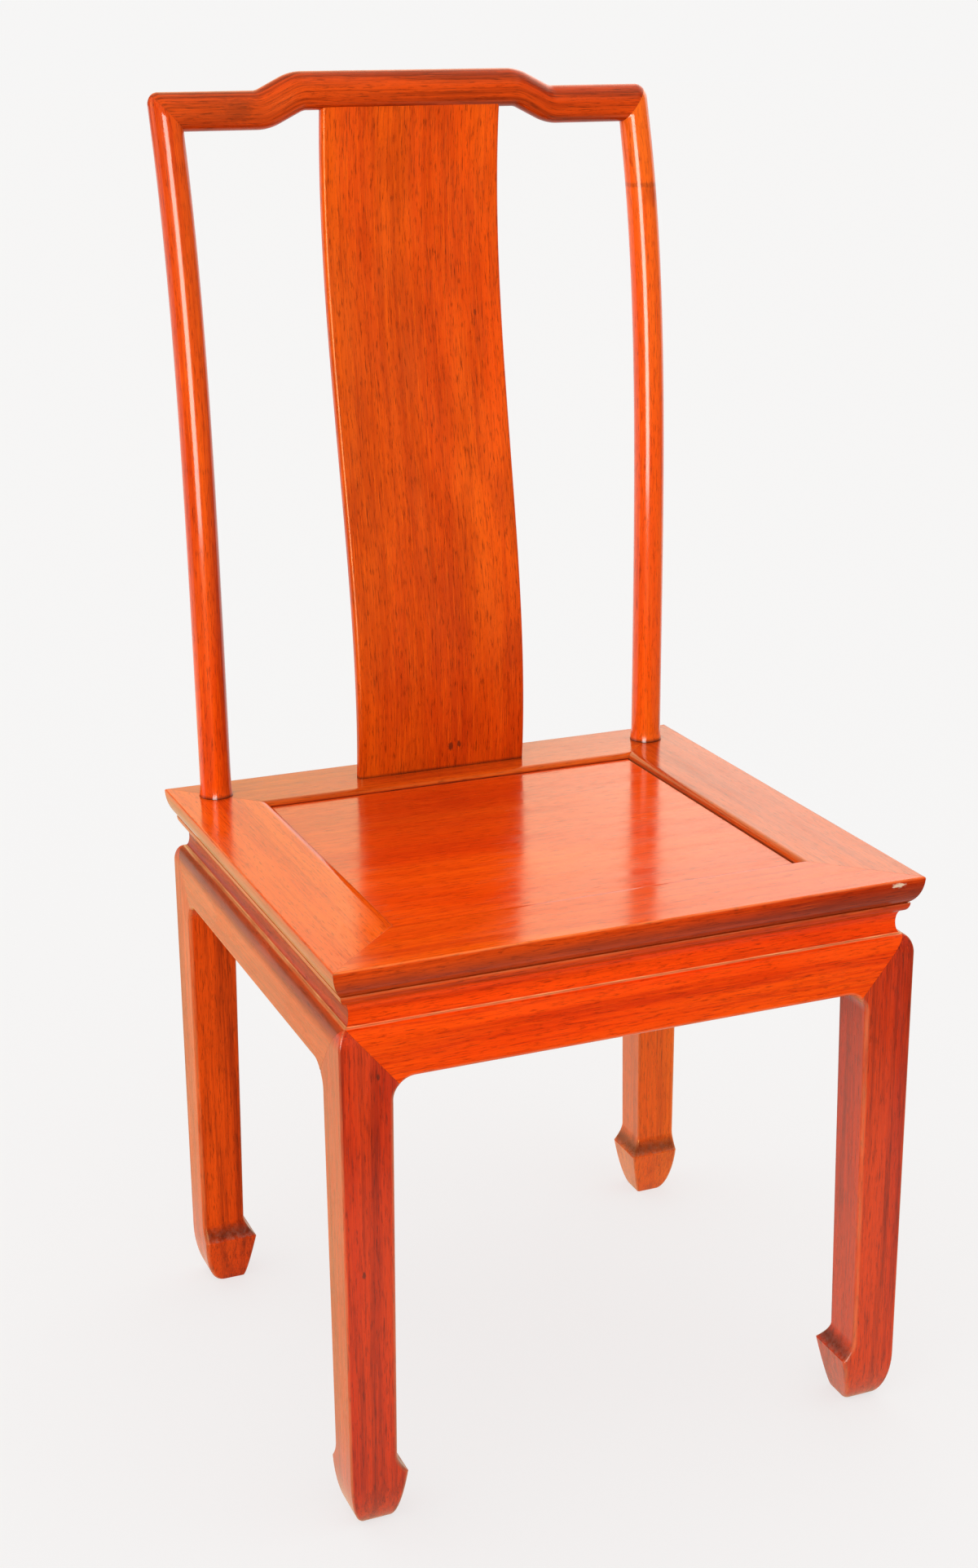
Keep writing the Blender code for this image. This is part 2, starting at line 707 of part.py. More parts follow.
def build_leg(corner):
    """A leg with a hoof, sloping shoulders for two aprons, a core behind them and its joints."""
    place = corner_name(corner)
    leg = loft(f"leg_{place}", [leg_ring(corner, *level) for level in leg_levels()])
    for side, end in corner_sides(corner):
        point, normal = leg_mitre_plane(side, end, -FIT / 2)
        saw(leg, point, normal)
    core = leg_core(f"{place}_core", corner)
    shape(leg, core, "UNION")
    for side, end in corner_sides(corner):
        pin = hanging_pin(f"{place}_{side}_pin", side, end, APRON_TOP - PIN_COVER)
        shape(leg, pin, "UNION")
    if corner[1] < 0:
        for along_side in (False, True):
            which = "side" if along_side else "front"
            shape(leg, leg_tenon(f"{place}_{which}_tenon", corner, along_side), "UNION")
    else:
        socket = post_tenon_rod(f"{place}_post_socket", corner, POST_TENON_RADIUS + FIT, SEAT_HEIGHT)
        shape(leg, socket, "DIFFERENCE")
    return keep(leg, "leg")


# Back


def post_climb(height):
    return (height - SEAT_HEIGHT) / (CREST_CENTRE - SEAT_HEIGHT)


def post_y(height):
    """The curve of the posts seen from the side: almost upright, then sweeping back."""
    climb = post_climb(height)
    return POST_Y + POST_LEAN * climb + POST_SWEEP * max(0.0, climb) ** POST_SWEEP_POWER


CREST_Y = post_y(CREST_CENTRE)
CREST_LEAN = (POST_LEAN + POST_SWEEP * POST_SWEEP_POWER) / (CREST_CENTRE - SEAT_HEIGHT)


def section_turns():
    return [2 * math.pi * i / ROUND_SIDES for i in range(ROUND_SIDES)]


def eased_corner(outward, turn):
    """Where a line on the round section lies in the mitred corner, in half sizes of the section.

    The line runs straight up the post until turn leaves 0, and along the crest from a quarter turn on."""
    ease = CORNER_EASE / POST_RADIUS * (1 + outward) / 2
    return outward - ease * (1 - math.cos(turn)), outward - ease * (1 - math.sin(turn))


def corner_ring(hand, turn, gap):
    """A ring of the back's round section in the corner between a post and the crest.

    The gap backs the ring away from the mitre, along the way that the section runs."""
    ring = []
    for angle in section_turns():
        across, up = eased_corner(math.sin(angle), turn)
        x = CREST_X + POST_RADIUS * across + gap * math.sin(turn)
        z = CREST_CENTRE + CREST_HEIGHT / 2 * up - gap * math.cos(turn)
        y = CREST_Y + CREST_LEAN * (z - CREST_CENTRE) + POST_RADIUS * math.cos(angle)
        ring.append((hand * x, y, z))
    return ring


def post_ring(hand, height, radius):
    centre_x = POST_X + POST_SPLAY * post_climb(height)
    centre_y = post_y(height)
    ring = []
    for angle in section_turns():
        x = hand * (centre_x + radius * math.sin(angle))
        ring.append((x, centre_y + radius * math.cos(angle), height))
    return ring


def tenon_ring(hand, height):
    centre_x, centre_y = corner_point((hand, 1), CORE_MIDDLE, CORE_MIDDLE)
    ring = []
    for angle in section_turns():
        x = centre_x + hand * POST_TENON_RADIUS * math.sin(angle)
        ring.append((x, centre_y + POST_TENON_RADIUS * math.cos(angle), height))
    return ring


def crest_tenon(name, hand, grow=0.0):
    """The small tenon that stands on a post's mitre and enters the end of the crest."""
    half = CREST_TENON_SIZE / 2 + grow
    middle = CREST_X - CREST_TENON_SIZE / 2
    low = (hand * (middle - half), CREST_Y - half, CREST_CENTRE - CREST_TENON_SIZE)
    high = (hand * (middle + half), CREST_Y + half, CREST_CENTRE + CREST_TENON_RISE + grow)
    return block(name, low, high)


def build_post(name, hand):
    """A round post: tenon below, flared foot on the seat, swept-back shaft and mitred head."""
    foot = SEAT_HEIGHT + FIT
    rings = [tenon_ring(hand, FRAME_BOTTOM - POST_TENON_REACH), tenon_ring(hand, foot)]
    for q in steps(3):
        flare = POST_FLARE * (1 - q) ** 2
        rings.append(post_ring(hand, foot + POST_FLARE_HEIGHT * q, POST_RADIUS + flare))
    start = foot + POST_FLARE_HEIGHT
    end = CREST_CENTRE - CREST_HEIGHT
    for q in steps(3 * CURVE_STEPS)[1:]:
        rings.append(post_ring(hand, start + (end - start) * q ** 0.8, POST_RADIUS))
    mitre_gap = FIT / math.sqrt(2)
    rings += [corner_ring(hand, q * math.pi / 4, mitre_gap * q) for q in steps(CORNER_STEPS)]
    post = loft(name, rings)
    shape(post, crest_tenon(f"{name}_tenon", hand), "UNION")
    return keep(post, "back")


def crest_line(x):
    """Height of the crest's centre line above its ends, and its slope, at a distance from the middle."""
    run = (STEP_START - x) / STEP_LENGTH
    if run <= 0:
        return 0.0, 0.0
    if run >= 1:
        return CREST_RISE, 0.0
    slope = 1 / (1 - STEP_BEND)
    if run < STEP_BEND:
        climb, grade = slope * run * run / (2 * STEP_BEND), slope * run / STEP_BEND
    elif run > 1 - STEP_BEND:
        rest = 1 - run
        climb, grade = 1 - slope * rest * rest / (2 * STEP_BEND), slope * rest / STEP_BEND
    else:
        climb, grade = slope * (run - STEP_BEND / 2), slope
    return CREST_RISE * climb, CREST_RISE * grade / STEP_LENGTH


def crest_ring(hand, x):
    """The crest's section square to its centre line, leaning back as the posts do."""
    rise, slope = crest_line(x)
    length = math.hypot(1, slope)
    ring = []
    for angle in section_turns():
        up = CREST_HEIGHT / 2 * math.sin(angle)
        place_x = x + up * slope / length
        place_y = CREST_Y + CREST_LEAN * up + POST_RADIUS * math.cos(angle)
        ring.append((hand * place_x, place_y, CREST_CENTRE + rise + up / length))
    return ring


def build_crest():
    """The top rail: mitred ends with eased corners, a step up on each side, a housing for the splat."""
    mitre_gap = FIT / math.sqrt(2)
    half = [corner_ring(1, math.pi / 4 * (1 + q), -mitre_gap * (1 - q)) for q in steps(CORNER_STEPS)]
    half += [crest_ring(1, STEP_START - STEP_LENGTH * q) for q in steps(2 * CURVE_STEPS)]
    other = [[(-x, y, z) for x, y, z in ring] for ring in reversed(half)]
    crest = loft("crest_rail", half + other)
    for name, hand in (("left", -1), ("right", 1)):
        shape(crest, crest_tenon(f"{name}_crest_mortise", hand, FIT), "DIFFERENCE")
    top = splat_top()
    housing = loft("splat_head_housing", splat_rings(top - CREST_HEIGHT, top + FIT, FIT))
    shape(crest, housing, "DIFFERENCE")
    return keep(crest, "back")


def splat_top():
    return CREST_CENTRE + CREST_RISE - CREST_HEIGHT / 2 + SPLAT_HOUSING


def splat_y(height):
    """The S of the splat seen from the side: forward low down, back behind the shoulders."""
    low, high = SPLAT_LOW_POINT, SPLAT_HIGH_POINT
    climb = post_climb(height)
    rate = 6 * SPLAT_SWING / (high - low) ** 3
    return SPLAT_Y + rate * (-(climb**3) / 3 + (low + high) / 2 * climb**2 - low * high * climb)


def splat_rings(bottom, top, grow=0.0):
    """Flat sections with rounded edges up the splat's curve, enlarged by grow."""
    half_thickness = SPLAT_THICKNESS / 2 + grow
    count = max(2, round((top - bottom) / SPLAT_WIDTH * CURVE_STEPS))
    rings = []
    for q in steps(count):
        height = bottom + (top - bottom) * q
        half_width = (SPLAT_WIDTH - SPLAT_TAPER * (1 - post_climb(height))) / 2 + grow
        ring = []
        for sign_x, sign_y, first in ((1, 1, 0), (-1, 1, 90), (-1, -1, 180), (1, -1, 270)):
            for part in steps(CORNER_STEPS - 1):
                turn = math.radians(first + 90 * part)
                x = sign_x * (half_width - SPLAT_EDGE_ROUND) + SPLAT_EDGE_ROUND * math.cos(turn)
                y = sign_y * (half_thickness - SPLAT_EDGE_ROUND) + SPLAT_EDGE_ROUND * math.sin(turn)
                ring.append((x, splat_y(height) + y, height))
        rings.append(ring)
    return rings


def build_splat():
    foot = SEAT_HEIGHT - SPLAT_HOUSING
    return keep(loft("splat", splat_rings(foot, splat_top())), "splat")


# The chair


def back_reach():
    """How far behind the middle of the seat the crest goes."""
    return max(y for _, y, _ in crest_ring(1, 0.0))


def build_chair():
    clear_scene()
    parts = new_collection("ming_side_chair")
    new_collection("joinery_cutters")
    for side in SIDES:
        build_frame_member(side)
        build_waist(side)
        build_apron(side)
    build_panel()
    for name, x in zip(("batten_left", "batten_right"), batten_places()):
        build_batten(name, x)
    for corner in ((-1, -1), (1, -1), (-1, 1), (1, 1)):
        build_leg(corner)
    build_post("post_left", -1)
    build_post("post_right", 1)
    build_crest()
    build_splat()
    shift = (back_reach() - SEAT_DEPTH / 2) / 2
    for piece in [*parts.objects, *bpy.data.collections["joinery_cutters"].objects]:
        piece.location.y -= shift


build_chair()
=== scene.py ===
"""Dresses the Ming-style side chair: finely moulded timbers, varnished rosewood and a pale studio."""
import math

import bmesh
import bpy
from mathutils import Matrix, Vector


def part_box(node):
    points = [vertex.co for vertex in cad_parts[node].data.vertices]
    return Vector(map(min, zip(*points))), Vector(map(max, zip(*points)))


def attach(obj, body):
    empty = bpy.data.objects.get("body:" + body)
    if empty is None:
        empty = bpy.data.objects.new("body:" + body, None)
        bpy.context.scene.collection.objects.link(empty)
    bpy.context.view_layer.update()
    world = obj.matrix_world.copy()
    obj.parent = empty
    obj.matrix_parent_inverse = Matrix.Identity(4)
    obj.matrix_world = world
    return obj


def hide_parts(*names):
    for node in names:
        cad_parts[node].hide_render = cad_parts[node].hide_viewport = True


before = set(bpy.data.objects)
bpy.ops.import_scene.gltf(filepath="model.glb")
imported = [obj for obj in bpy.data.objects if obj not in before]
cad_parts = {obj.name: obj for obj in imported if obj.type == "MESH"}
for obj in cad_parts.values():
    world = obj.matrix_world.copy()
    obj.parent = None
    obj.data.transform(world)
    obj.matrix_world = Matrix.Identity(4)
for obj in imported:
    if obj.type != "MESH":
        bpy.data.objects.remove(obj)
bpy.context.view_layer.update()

# Places taken from the frame
SEAT_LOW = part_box("seat_front_rail")[0]
SEAT_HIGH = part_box("seat_back_rail")[1]
LEFT_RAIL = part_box("seat_left_rail")
MIDDLE_Y = (SEAT_LOW.y + SEAT_HIGH.y) / 2
HALF_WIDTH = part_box("seat_right_rail")[1].x
HALF_DEPTH = (SEAT_HIGH.y - SEAT_LOW.y) / 2
SEAT_TOP = SEAT_HIGH.z
FRAME_BOTTOM = SEAT_LOW.z
FRAME_MEMBER = LEFT_RAIL[1].x - LEFT_RAIL[0].x
APRON_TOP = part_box("apron_front")[1].z
PANEL_LOW, PANEL_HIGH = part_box("seat_panel")
CREST_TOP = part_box("crest_rail")[1].z
FIT = 0.0003

# Seat frame moulding
ARRIS = 0.0016
OVOLO_HEIGHT = 0.022
OVOLO_REACH = 0.0083
OVOLO_TURN = math.radians(67)
OVOLO_START = 1.2 * ARRIS
QUIRK_DEPTH = 0.0012
QUIRK_HEIGHT = 0.0008
# Painted shade in the quirk under the ovolo
QUIRK_SHADE = 0.4
LIP_INSET = 0.0076
LIP_HEIGHT = 0.0072
LIP_FOOT_INSET = 0.0125
INNER_ROUND_WIDTH = 0.0075
MITRE_GAP = 0.00006
MITRE_EASE = 0.0001

# Wear with painted highlights, and painted shade, on the frame, and the parts of a curve that they reach
# over
ARRIS_WEAR_AND_HIGHLIGHT = 0.4
OVOLO_SHADE = 0.45
OVOLO_SHADE_START = 0.15
OVOLO_SHADE_RUN = 0.3
LIP_WEAR_AND_HIGHLIGHT = 0.5
LIP_PALE_PART = 1 / 6
LIP_SHADE = 0.5
INNER_SHADE = 0.8
INNER_SHADED_PART = 1 / 4

# How far up a face of the frame points, at least, to take the finish of the top
UPWARD = 0.5

# Seat panel
PANEL_GAP = 0.0008
PANEL_EASE = 0.0007
TONGUE_LENGTH = 0.006
TONGUE_COVER = 0.003
TONGUE_THICKNESS = 0.004

# Waist
WAIST_INSET = 0.0125
COVE_DEPTH = 0.0031
# A pale line of wear and painted highlight at the foot of the waist and the top of the aprons
PALE_LINE = 1.6
PALE_START = 0.88
PALE_COLUMNS = 2
# Painted shade at the top of the waist, under the frame
WAIST_SHADE = 0.7
WAIST_SHADE_POWER = 12

# Aprons
LEG_INSET = 0.004
APRON_HEIGHT = 0.0418
APRON_THICKNESS = 0.020
SHOULDER_REACH = 0.0078
SHOULDER_HEIGHT = 0.0150
# Painted shade on the side aprons' shoulders, under the frame
SHOULDER_SHADE = 0.65
ARCH_RADIUS = 0.017
ARCH_TURN = math.radians(60)
EDGE_ROUND = 0.0035
LOWER_EDGE_WEAR = 0.5

# Legs
LEG_TOP = 0.041
LEG_ANKLE = 0.0378
LEG_ARRIS = 0.0018
# Wear on the legs' edges, partly a painted highlight
LEG_WEAR_AND_HIGHLIGHT = 0.4
HOOF_SPREAD = 0.0465
HOOF_TIP_HEIGHT = 0.0425
HOOF_SLANT_POWER = 0.8
HOOF_LEDGE_HEIGHT = 0.0165
LEDGE_HOLLOW = 1.7
# How much darker the hoof's hollow is painted
LEDGE_DARKENING = 0.8
LEDGE_DUST = 0.45
FOOT_INSET = 0.0145
FOOT_SIZE = 0.022
CORE_MARGIN = 0.001

# Back
POST_RADIUS = 0.0132
POST_SIDE_INSET = 0.0363
POST_BACK_INSET = 0.0337
POST_SPLAY = 0.003
POST_LEAN = 0.0045
POST_SWEEP = 0.045
POST_SWEEP_POWER = 4
POST_FLARE = 0.0012
POST_FLARE_HEIGHT = 0.012
POST_SPACING_POWER = 0.8
# Painted shade at the posts' feet, where they meet the seat
POST_SHADED_RINGS = 2
CREST_HEIGHT = 0.0305
CREST_RISE = 0.0145
STEP_START = 0.1325
STEP_LENGTH = 0.042
STEP_BEND = 0.3
CORNER_EASE = 0.009
SPLAT_WIDTH = 0.1575
SPLAT_TAPER = 0.0025
SPLAT_THICKNESS = 0.010
SPLAT_EDGE_ROUND = 0.0035
SPLAT_BACK_INSET = 0.0385
SPLAT_SWING = 0.0557
SPLAT_LOW_POINT = 0.10
SPLAT_HIGH_POINT = 0.88
SPLAT_HOUSING = 0.011
# Painted shade at the splat's foot, where it meets the seat
SPLAT_SHADE_STEP = 0.0015
SPLAT_SHADED_RINGS = 3
SPLAT_FADING_RINGS = 2

# How finely curves are divided
ROUND_SIDES = 48
CORNER_STEPS = 6
CURVE_STEPS = 16
LIP_STEPS = 8
FLARE_STEPS = 8
SMOOTH_ANGLE = math.radians(32)
CUT_TOLERANCE = 1e-7

# Places that follow
PANEL_TOP = PANEL_HIGH.z
APRON_BOTTOM = APRON_TOP - APRON_HEIGHT
ARCH_START = APRON_BOTTOM - ARCH_RADIUS
BACK_OF_APRON = LEG_INSET + APRON_THICKNESS
CORE_START = BACK_OF_APRON + FIT
CORE_END = LEG_INSET + LEG_TOP - CORE_MARGIN
CREST_CENTRE = CREST_TOP - CREST_RISE - CREST_HEIGHT / 2
POST_X = HALF_WIDTH - POST_SIDE_INSET
POST_Y = HALF_DEPTH - POST_BACK_INSET
SPLAT_Y = HALF_DEPTH - SPLAT_BACK_INSET
CREST_X = POST_X + POST_SPLAY

# Each side of the seat: its turn about Z, how far out its edge lies and half its length
SIDES = {
    "front": (0.0, HALF_DEPTH, HALF_WIDTH),
    "right": (math.pi / 2, HALF_WIDTH, HALF_DEPTH),
    "back": (math.pi, HALF_DEPTH, HALF_WIDTH),
    "left": (-math.pi / 2, HALF_WIDTH, HALF_DEPTH),
}

# Each leg's corner, left or right and front or back, and its finish; the back legs take lighter copies
# of the legs' wood, painted light
CORNERS = ((-1, -1), (1, -1), (-1, 1), (1, 1))
LEG_FINISHES = dict(zip(CORNERS, ("leg", "leg", "leg_mid", "leg_light")))


# Mesh helpers


def steps(count):
    """Even fractions from 0 to 1."""
    return [i / count for i in range(count + 1)]


def loft(name, rings, marks):
    """A closed mesh through rings of points; marks(row, column) gives a point's wear and painted
    highlight, its painted shade and grime, and its dust.
    """
    bm = bmesh.new()
    layer = bm.verts.layers.float_vector.new("marks")
    rows = []
    for r, ring in enumerate(rings):
        row = [bm.verts.new(point) for point in ring]
        for c, vert in enumerate(row):
            vert[layer] = Vector(marks(r, c))
        rows.append(row)
    count = len(rings[0])
    for lower, upper in zip(rows, rows[1:]):
        for i in range(count):
            j = (i + 1) % count
            bm.faces.new((lower[i], lower[j], upper[j], upper[i]))
    bm.faces.new(rows[0])
    bm.faces.new(rows[-1])
    return mesh_object(bm, name)


def mesh_object(bm, name):
    bmesh.ops.recalc_face_normals(bm, faces=bm.faces)
    mesh = bpy.data.meshes.new(name)
    bm.to_mesh(mesh)
    bm.free()
    piece = bpy.data.objects.new(name, mesh)
    bpy.context.scene.collection.objects.link(piece)
    return piece


def saw(piece, point, normal):
    """Cuts off what lies beyond a plane, on the side its normal points to, and closes the cut."""
    bm = bmesh.new()
    bm.from_mesh(piece.data)
    everything = bm.verts[:] + bm.edges[:] + bm.faces[:]
    result = bmesh.ops.bisect_plane(
        bm, geom=everything, dist=CUT_TOLERANCE, plane_co=point, plane_no=normal, clear_outer=True
    )
    rim = [item for item in result["geom_cut"] if isinstance(item, bmesh.types.BMEdge)]
    bmesh.ops.edgeloop_fill(bm, edges=rim)
    bmesh.ops.recalc_face_normals(bm, faces=bm.faces)
    bm.to_mesh(piece.data)
    bm.free()


def join(piece, other):
    """Makes two closed meshes one solid and removes the second."""
    step = piece.modifiers.new("join", "BOOLEAN")
    step.operation = "UNION"
    step.solver = "EXACT"
    step.object = other
    graph = bpy.context.evaluated_depsgraph_get()
    solid = bpy.data.meshes.new_from_object(
        piece.evaluated_get(graph), preserve_all_data_layers=True, depsgraph=graph
    )
    piece.modifiers.remove(step)
    piece.data = solid
    bpy.data.objects.remove(other)


GRAIN_STEP = Vector((1.7, 0.9, 1.3))
NODE_ORDER = list(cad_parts)


def grain_start(node):
    """Where in the wood a node's grain is taken from, so that no two pieces are alike."""
    return GRAIN_STEP * NODE_ORDER.index(node)


def keep(piece, node, slot, grain, finish=None):
    """Moves a piece into the frame, writes its grain directions and lets it stand for its CAD node.

    grain turns a point, measured from the middle of the seat, into places along, across and into the
    wood. finish names the material, where it isn't the one of the slot."""
    offset = grain_start(node)
    mesh = piece.data
    layer = mesh.attributes.new("grain", "FLOAT_VECTOR", "POINT")
    for vert, item in zip(mesh.vertices, layer.data):
        item.vector = Vector(grain(vert.co)) + offset
    mesh.transform(Matrix.Translation((0, MIDDLE_Y, 0)))
    mesh.shade_smooth()
    mesh.set_sharp_from_angle(angle=SMOOTH_ANGLE)
    normals = piece.modifiers.new("even_normals", "WEIGHTED_NORMAL")
    normals.keep_sharp = True
    mesh.materials.clear()
    mesh.materials.append(MATERIALS[finish or slot])
    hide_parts(node)
    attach(piece, "root")
    return piece


# Shared geometry of the sides and corners of the seat


def side_turn(side):
    return Matrix.Rotation(SIDES[side][0], 4, "Z")


def along_side(side):
    """Grain running along a side of the seat."""
    back = side_turn(side).inverted()

    def grain(point):
        local = back @ point
        return local.x, local.z, local.y

    return grain


def upright(point):
    """Grain running up a leg."""
    return point.z, point.x, point.y


def corner_point(corner, inset_x, inset_y):
    return corner[0] * (HALF_WIDTH - inset_x), corner[1] * (HALF_DEPTH - inset_y)


def corner_name(corner):
    front_back = "front" if corner[1] < 0 else "back"
    return f"{front_back}_{'left' if corner[0] < 0 else 'right'}"


def corner_sides(corner):
    """The two sides that meet at a corner, each with the end of it that lies there."""
    across = ("front", corner[0]) if corner[1] < 0 else ("back", -corner[0])
    along = ("right", corner[1]) if corner[0] > 0 else ("left", -corner[1])
    return across, along


def shoulder_inset(height):
    """How far the rounded shoulder of the aprons and legs has drawn in at a height."""
    climb = (height - (APRON_TOP - SHOULDER_HEIGHT)) / SHOULDER_HEIGHT
    if climb <= 0:
        return 0.0
    return SHOULDER_REACH * (1 - math.sqrt(max(0.0, 1 - climb * climb)))


def shoulder_heights():
    return [APRON_TOP - SHOULDER_HEIGHT * (1 - math.sin(q * math.pi / 2)) for q in steps(CURVE_STEPS)]


def shrunk(outline, amount):
    """A closed outline of (inset, height) points drawn in along its normals."""
    area = sum(a[0] * b[1] - b[0] * a[1] for a, b in zip(outline, outline[1:] + outline[:1]))
    sign = 1 if area > 0 else -1
    result = []
    for before, point, after in zip(outline[-1:] + outline[:-1], outline, outline[1:] + outline[:1]):
        run = Vector((after[0] - before[0], after[1] - before[1])).normalized() * sign
        result.append((point[0] - run.y * amount, point[1] + run.x * amount))
    return result


def moulding(name, side, outline, marks, ease=0.0):
    """Runs an outline along a side between the mitres of the corners; its ends may be a little eased."""
    turn = side_turn(side)
    _, outer, half = SIDES[side]

    def ring(points, end, back):
        return [turn @ Vector((end * (half - d - MITRE_GAP - back), d - outer, z)) for d, z in points]

    rings = [ring(outline, -1, ease), ring(outline, 1, ease)]
    if ease:
        inner = shrunk(outline, ease)
        rings = [ring(inner, -1, 0), *rings, ring(inner, 1, 0)]
    return loft(name, rings, lambda r, c: marks[c])


# Seat frame


def frame_outline():
    """Section of a frame member as (inset, height) points, with the marks of each: wear and painted
    highlight, and painted shade.
    """
    outline, marks = [], []

    def add(inset, height, wear_and_highlight=0.0, shade_and_grime=0.0):
        outline.append((inset, height))
        marks.append((wear_and_highlight, shade_and_grime, 0.0))

    # The top arris, worn and painted with a highlight
    for q in steps(CORNER_STEPS):
        turn = q * math.pi / 2
        height = SEAT_TOP - ARRIS * (1 - math.cos(turn))
        add(ARRIS * (1 - math.sin(turn)), height, wear_and_highlight=ARRIS_WEAR_AND_HIGHLIGHT * math.sin(2 * turn))
    reach = OVOLO_REACH / (1 - math.cos(OVOLO_TURN))
    fall = OVOLO_HEIGHT / math.sin(OVOLO_TURN)
    # The ovolo, painted with shade below its top
    for q in steps(CURVE_STEPS):
        turn = OVOLO_TURN * q
        if fall * math.sin(turn) > OVOLO_START:
            shade = OVOLO_SHADE * min(1, max(0, q - OVOLO_SHADE_START) / OVOLO_SHADE_RUN)
            add(reach * (1 - math.cos(turn)), SEAT_TOP - fall * math.sin(turn), shade_and_grime=shade)
    # The quirk, painted with shade
    quirk_inset = max(OVOLO_REACH, LIP_INSET) + QUIRK_DEPTH
    lip_top = FRAME_BOTTOM + LIP_HEIGHT
    add(quirk_inset, lip_top + QUIRK_HEIGHT, shade_and_grime=QUIRK_SHADE)
    add(quirk_inset, lip_top, shade_and_grime=QUIRK_SHADE)
    # The lip: a pale mark of wear and painted highlight on its top, painted shade towards its foot
    for q in steps(LIP_STEPS):
        turn = q * math.pi / 2
        inset = LIP_INSET + (LIP_FOOT_INSET - LIP_INSET) * (1 - math.cos(turn))
        wear_and_highlight = LIP_WEAR_AND_HIGHLIGHT * max(0, 1 - q / LIP_PALE_PART)
        add(inset, lip_top - LIP_HEIGHT * math.sin(turn), wear_and_highlight, LIP_SHADE * q * q)
    add(FRAME_MEMBER - ARRIS, FRAME_BOTTOM)
    add(FRAME_MEMBER, FRAME_BOTTOM + ARRIS)
    groove_back = FRAME_MEMBER - PANEL_GAP - TONGUE_LENGTH - FIT
    tongue_top = PANEL_TOP - TONGUE_COVER
    # Painted shade in the groove that takes the panel's tongue
    add(FRAME_MEMBER, tongue_top - TONGUE_THICKNESS - FIT, shade_and_grime=1)
    add(groove_back, tongue_top - TONGUE_THICKNESS - FIT, shade_and_grime=1)
    add(groove_back, tongue_top + FIT, shade_and_grime=1)
    add(FRAME_MEMBER, tongue_top + FIT, shade_and_grime=1)
    # The inner round down to the panel, painted with shade at its foot
    for q in steps(CURVE_STEPS):
        turn = q * math.pi / 2
        inset = FRAME_MEMBER - INNER_ROUND_WIDTH * (1 - math.cos(turn))
        shade_and_grime = INNER_SHADE * max(0, 1 - q / INNER_SHADED_PART)
        add(inset, PANEL_TOP + (SEAT_TOP - PANEL_TOP) * math.sin(turn), shade_and_grime=shade_and_grime)
    return outline, marks


def build_frame():
    """The four rails, each with one finish on top and a darker one, painted shade, on its moulded edge.
    """
    for side in SIDES:
        node = f"seat_{side}_rail"
        rail = moulding(f"{node}_moulded", side, *frame_outline(), MITRE_EASE)
        # The right and back rails take a darker copy of the frame's wood: painted shade, falling off
        # towards the back
        finish = "frame" if side in ("front", "left") else "frame_dark"
        keep(rail, node, "frame", along_side(side), finish)
        # The moulded edges take a darker wood, painted shade; the side edges' copy has more sheen,
        # painted light
        rail.data.materials.append(MATERIALS["edge" if side == "front" else "edge_side"])
        for face in rail.data.polygons:
            face.material_index = 0 if face.normal.z > UPWARD else 1


def build_panel():
    """The floating panel, built up in level rings: board, tongue all round and eased upper edge."""
    half_x = PANEL_HIGH.x - TONGUE_LENGTH
    half_y = (PANEL_HIGH.y - PANEL_LOW.y) / 2 - TONGUE_LENGTH
    tongue_top = PANEL_TOP - TONGUE_COVER
    levels = [
        (0.0, PANEL_LOW.z),
        (0.0, tongue_top - TONGUE_THICKNESS),
        (TONGUE_LENGTH, tongue_top - TONGUE_THICKNESS),
        (TONGUE_LENGTH, tongue_top),
        (0.0, tongue_top),
    ]
    for q in steps(CORNER_STEPS):
        turn = q * math.pi / 2
        height = PANEL_TOP - PANEL_EASE * (1 - math.sin(turn))
        levels.append((-PANEL_EASE * (1 - math.cos(turn)), height))
    rings = []
    for grow, z in levels:
        x, y = half_x + grow, half_y + grow
        rings.append([(-x, -y, z), (x, -y, z), (x, y, z), (-x, y, z)])
    # Painted shade on the panel's tongue and sides, in the gap round it
    darkened = len(levels) - CORNER_STEPS
    piece = loft("seat_panel_board", rings, lambda r, c: (0, 1.0 if 0 < r < darkened else 0.0, 0))
    keep(piece, "seat_panel", "panel", along_side("front"))


# Waist and aprons


def build_waists():
    top, bottom = FRAME_BOTTOM - FIT, APRON_TOP + FIT
    outline, marks = [], []
    for q in steps(2 * CURVE_STEPS):
        turn = q * math.pi
        height = (top + bottom) / 2 + (top - bottom) / 2 * math.cos(turn)
        outline.append((WAIST_INSET + COVE_DEPTH * math.sin(turn), height))
        # Painted shade at the top, under the frame; at the foot, a pale line of wear and painted
        # highlight
        shade_and_grime = WAIST_SHADE * max(0, math.cos(turn)) ** WAIST_SHADE_POWER
        marks.append((PALE_LINE if q > PALE_START else 0, shade_and_grime, 0))
    outline += [(BACK_OF_APRON, bottom), (BACK_OF_APRON, top)]
    marks += [(0, 0, 0), (0, 0, 0)]
    for side in SIDES:
        strip = moulding(f"waist_{side}_coved", side, outline, marks)
        # The side waists take a darker copy of the waist's wood: painted shade
        finish = "waist" if side == "front" else "waist_side"
        keep(strip, f"waist_{side}", "waist", along_side(side), finish)


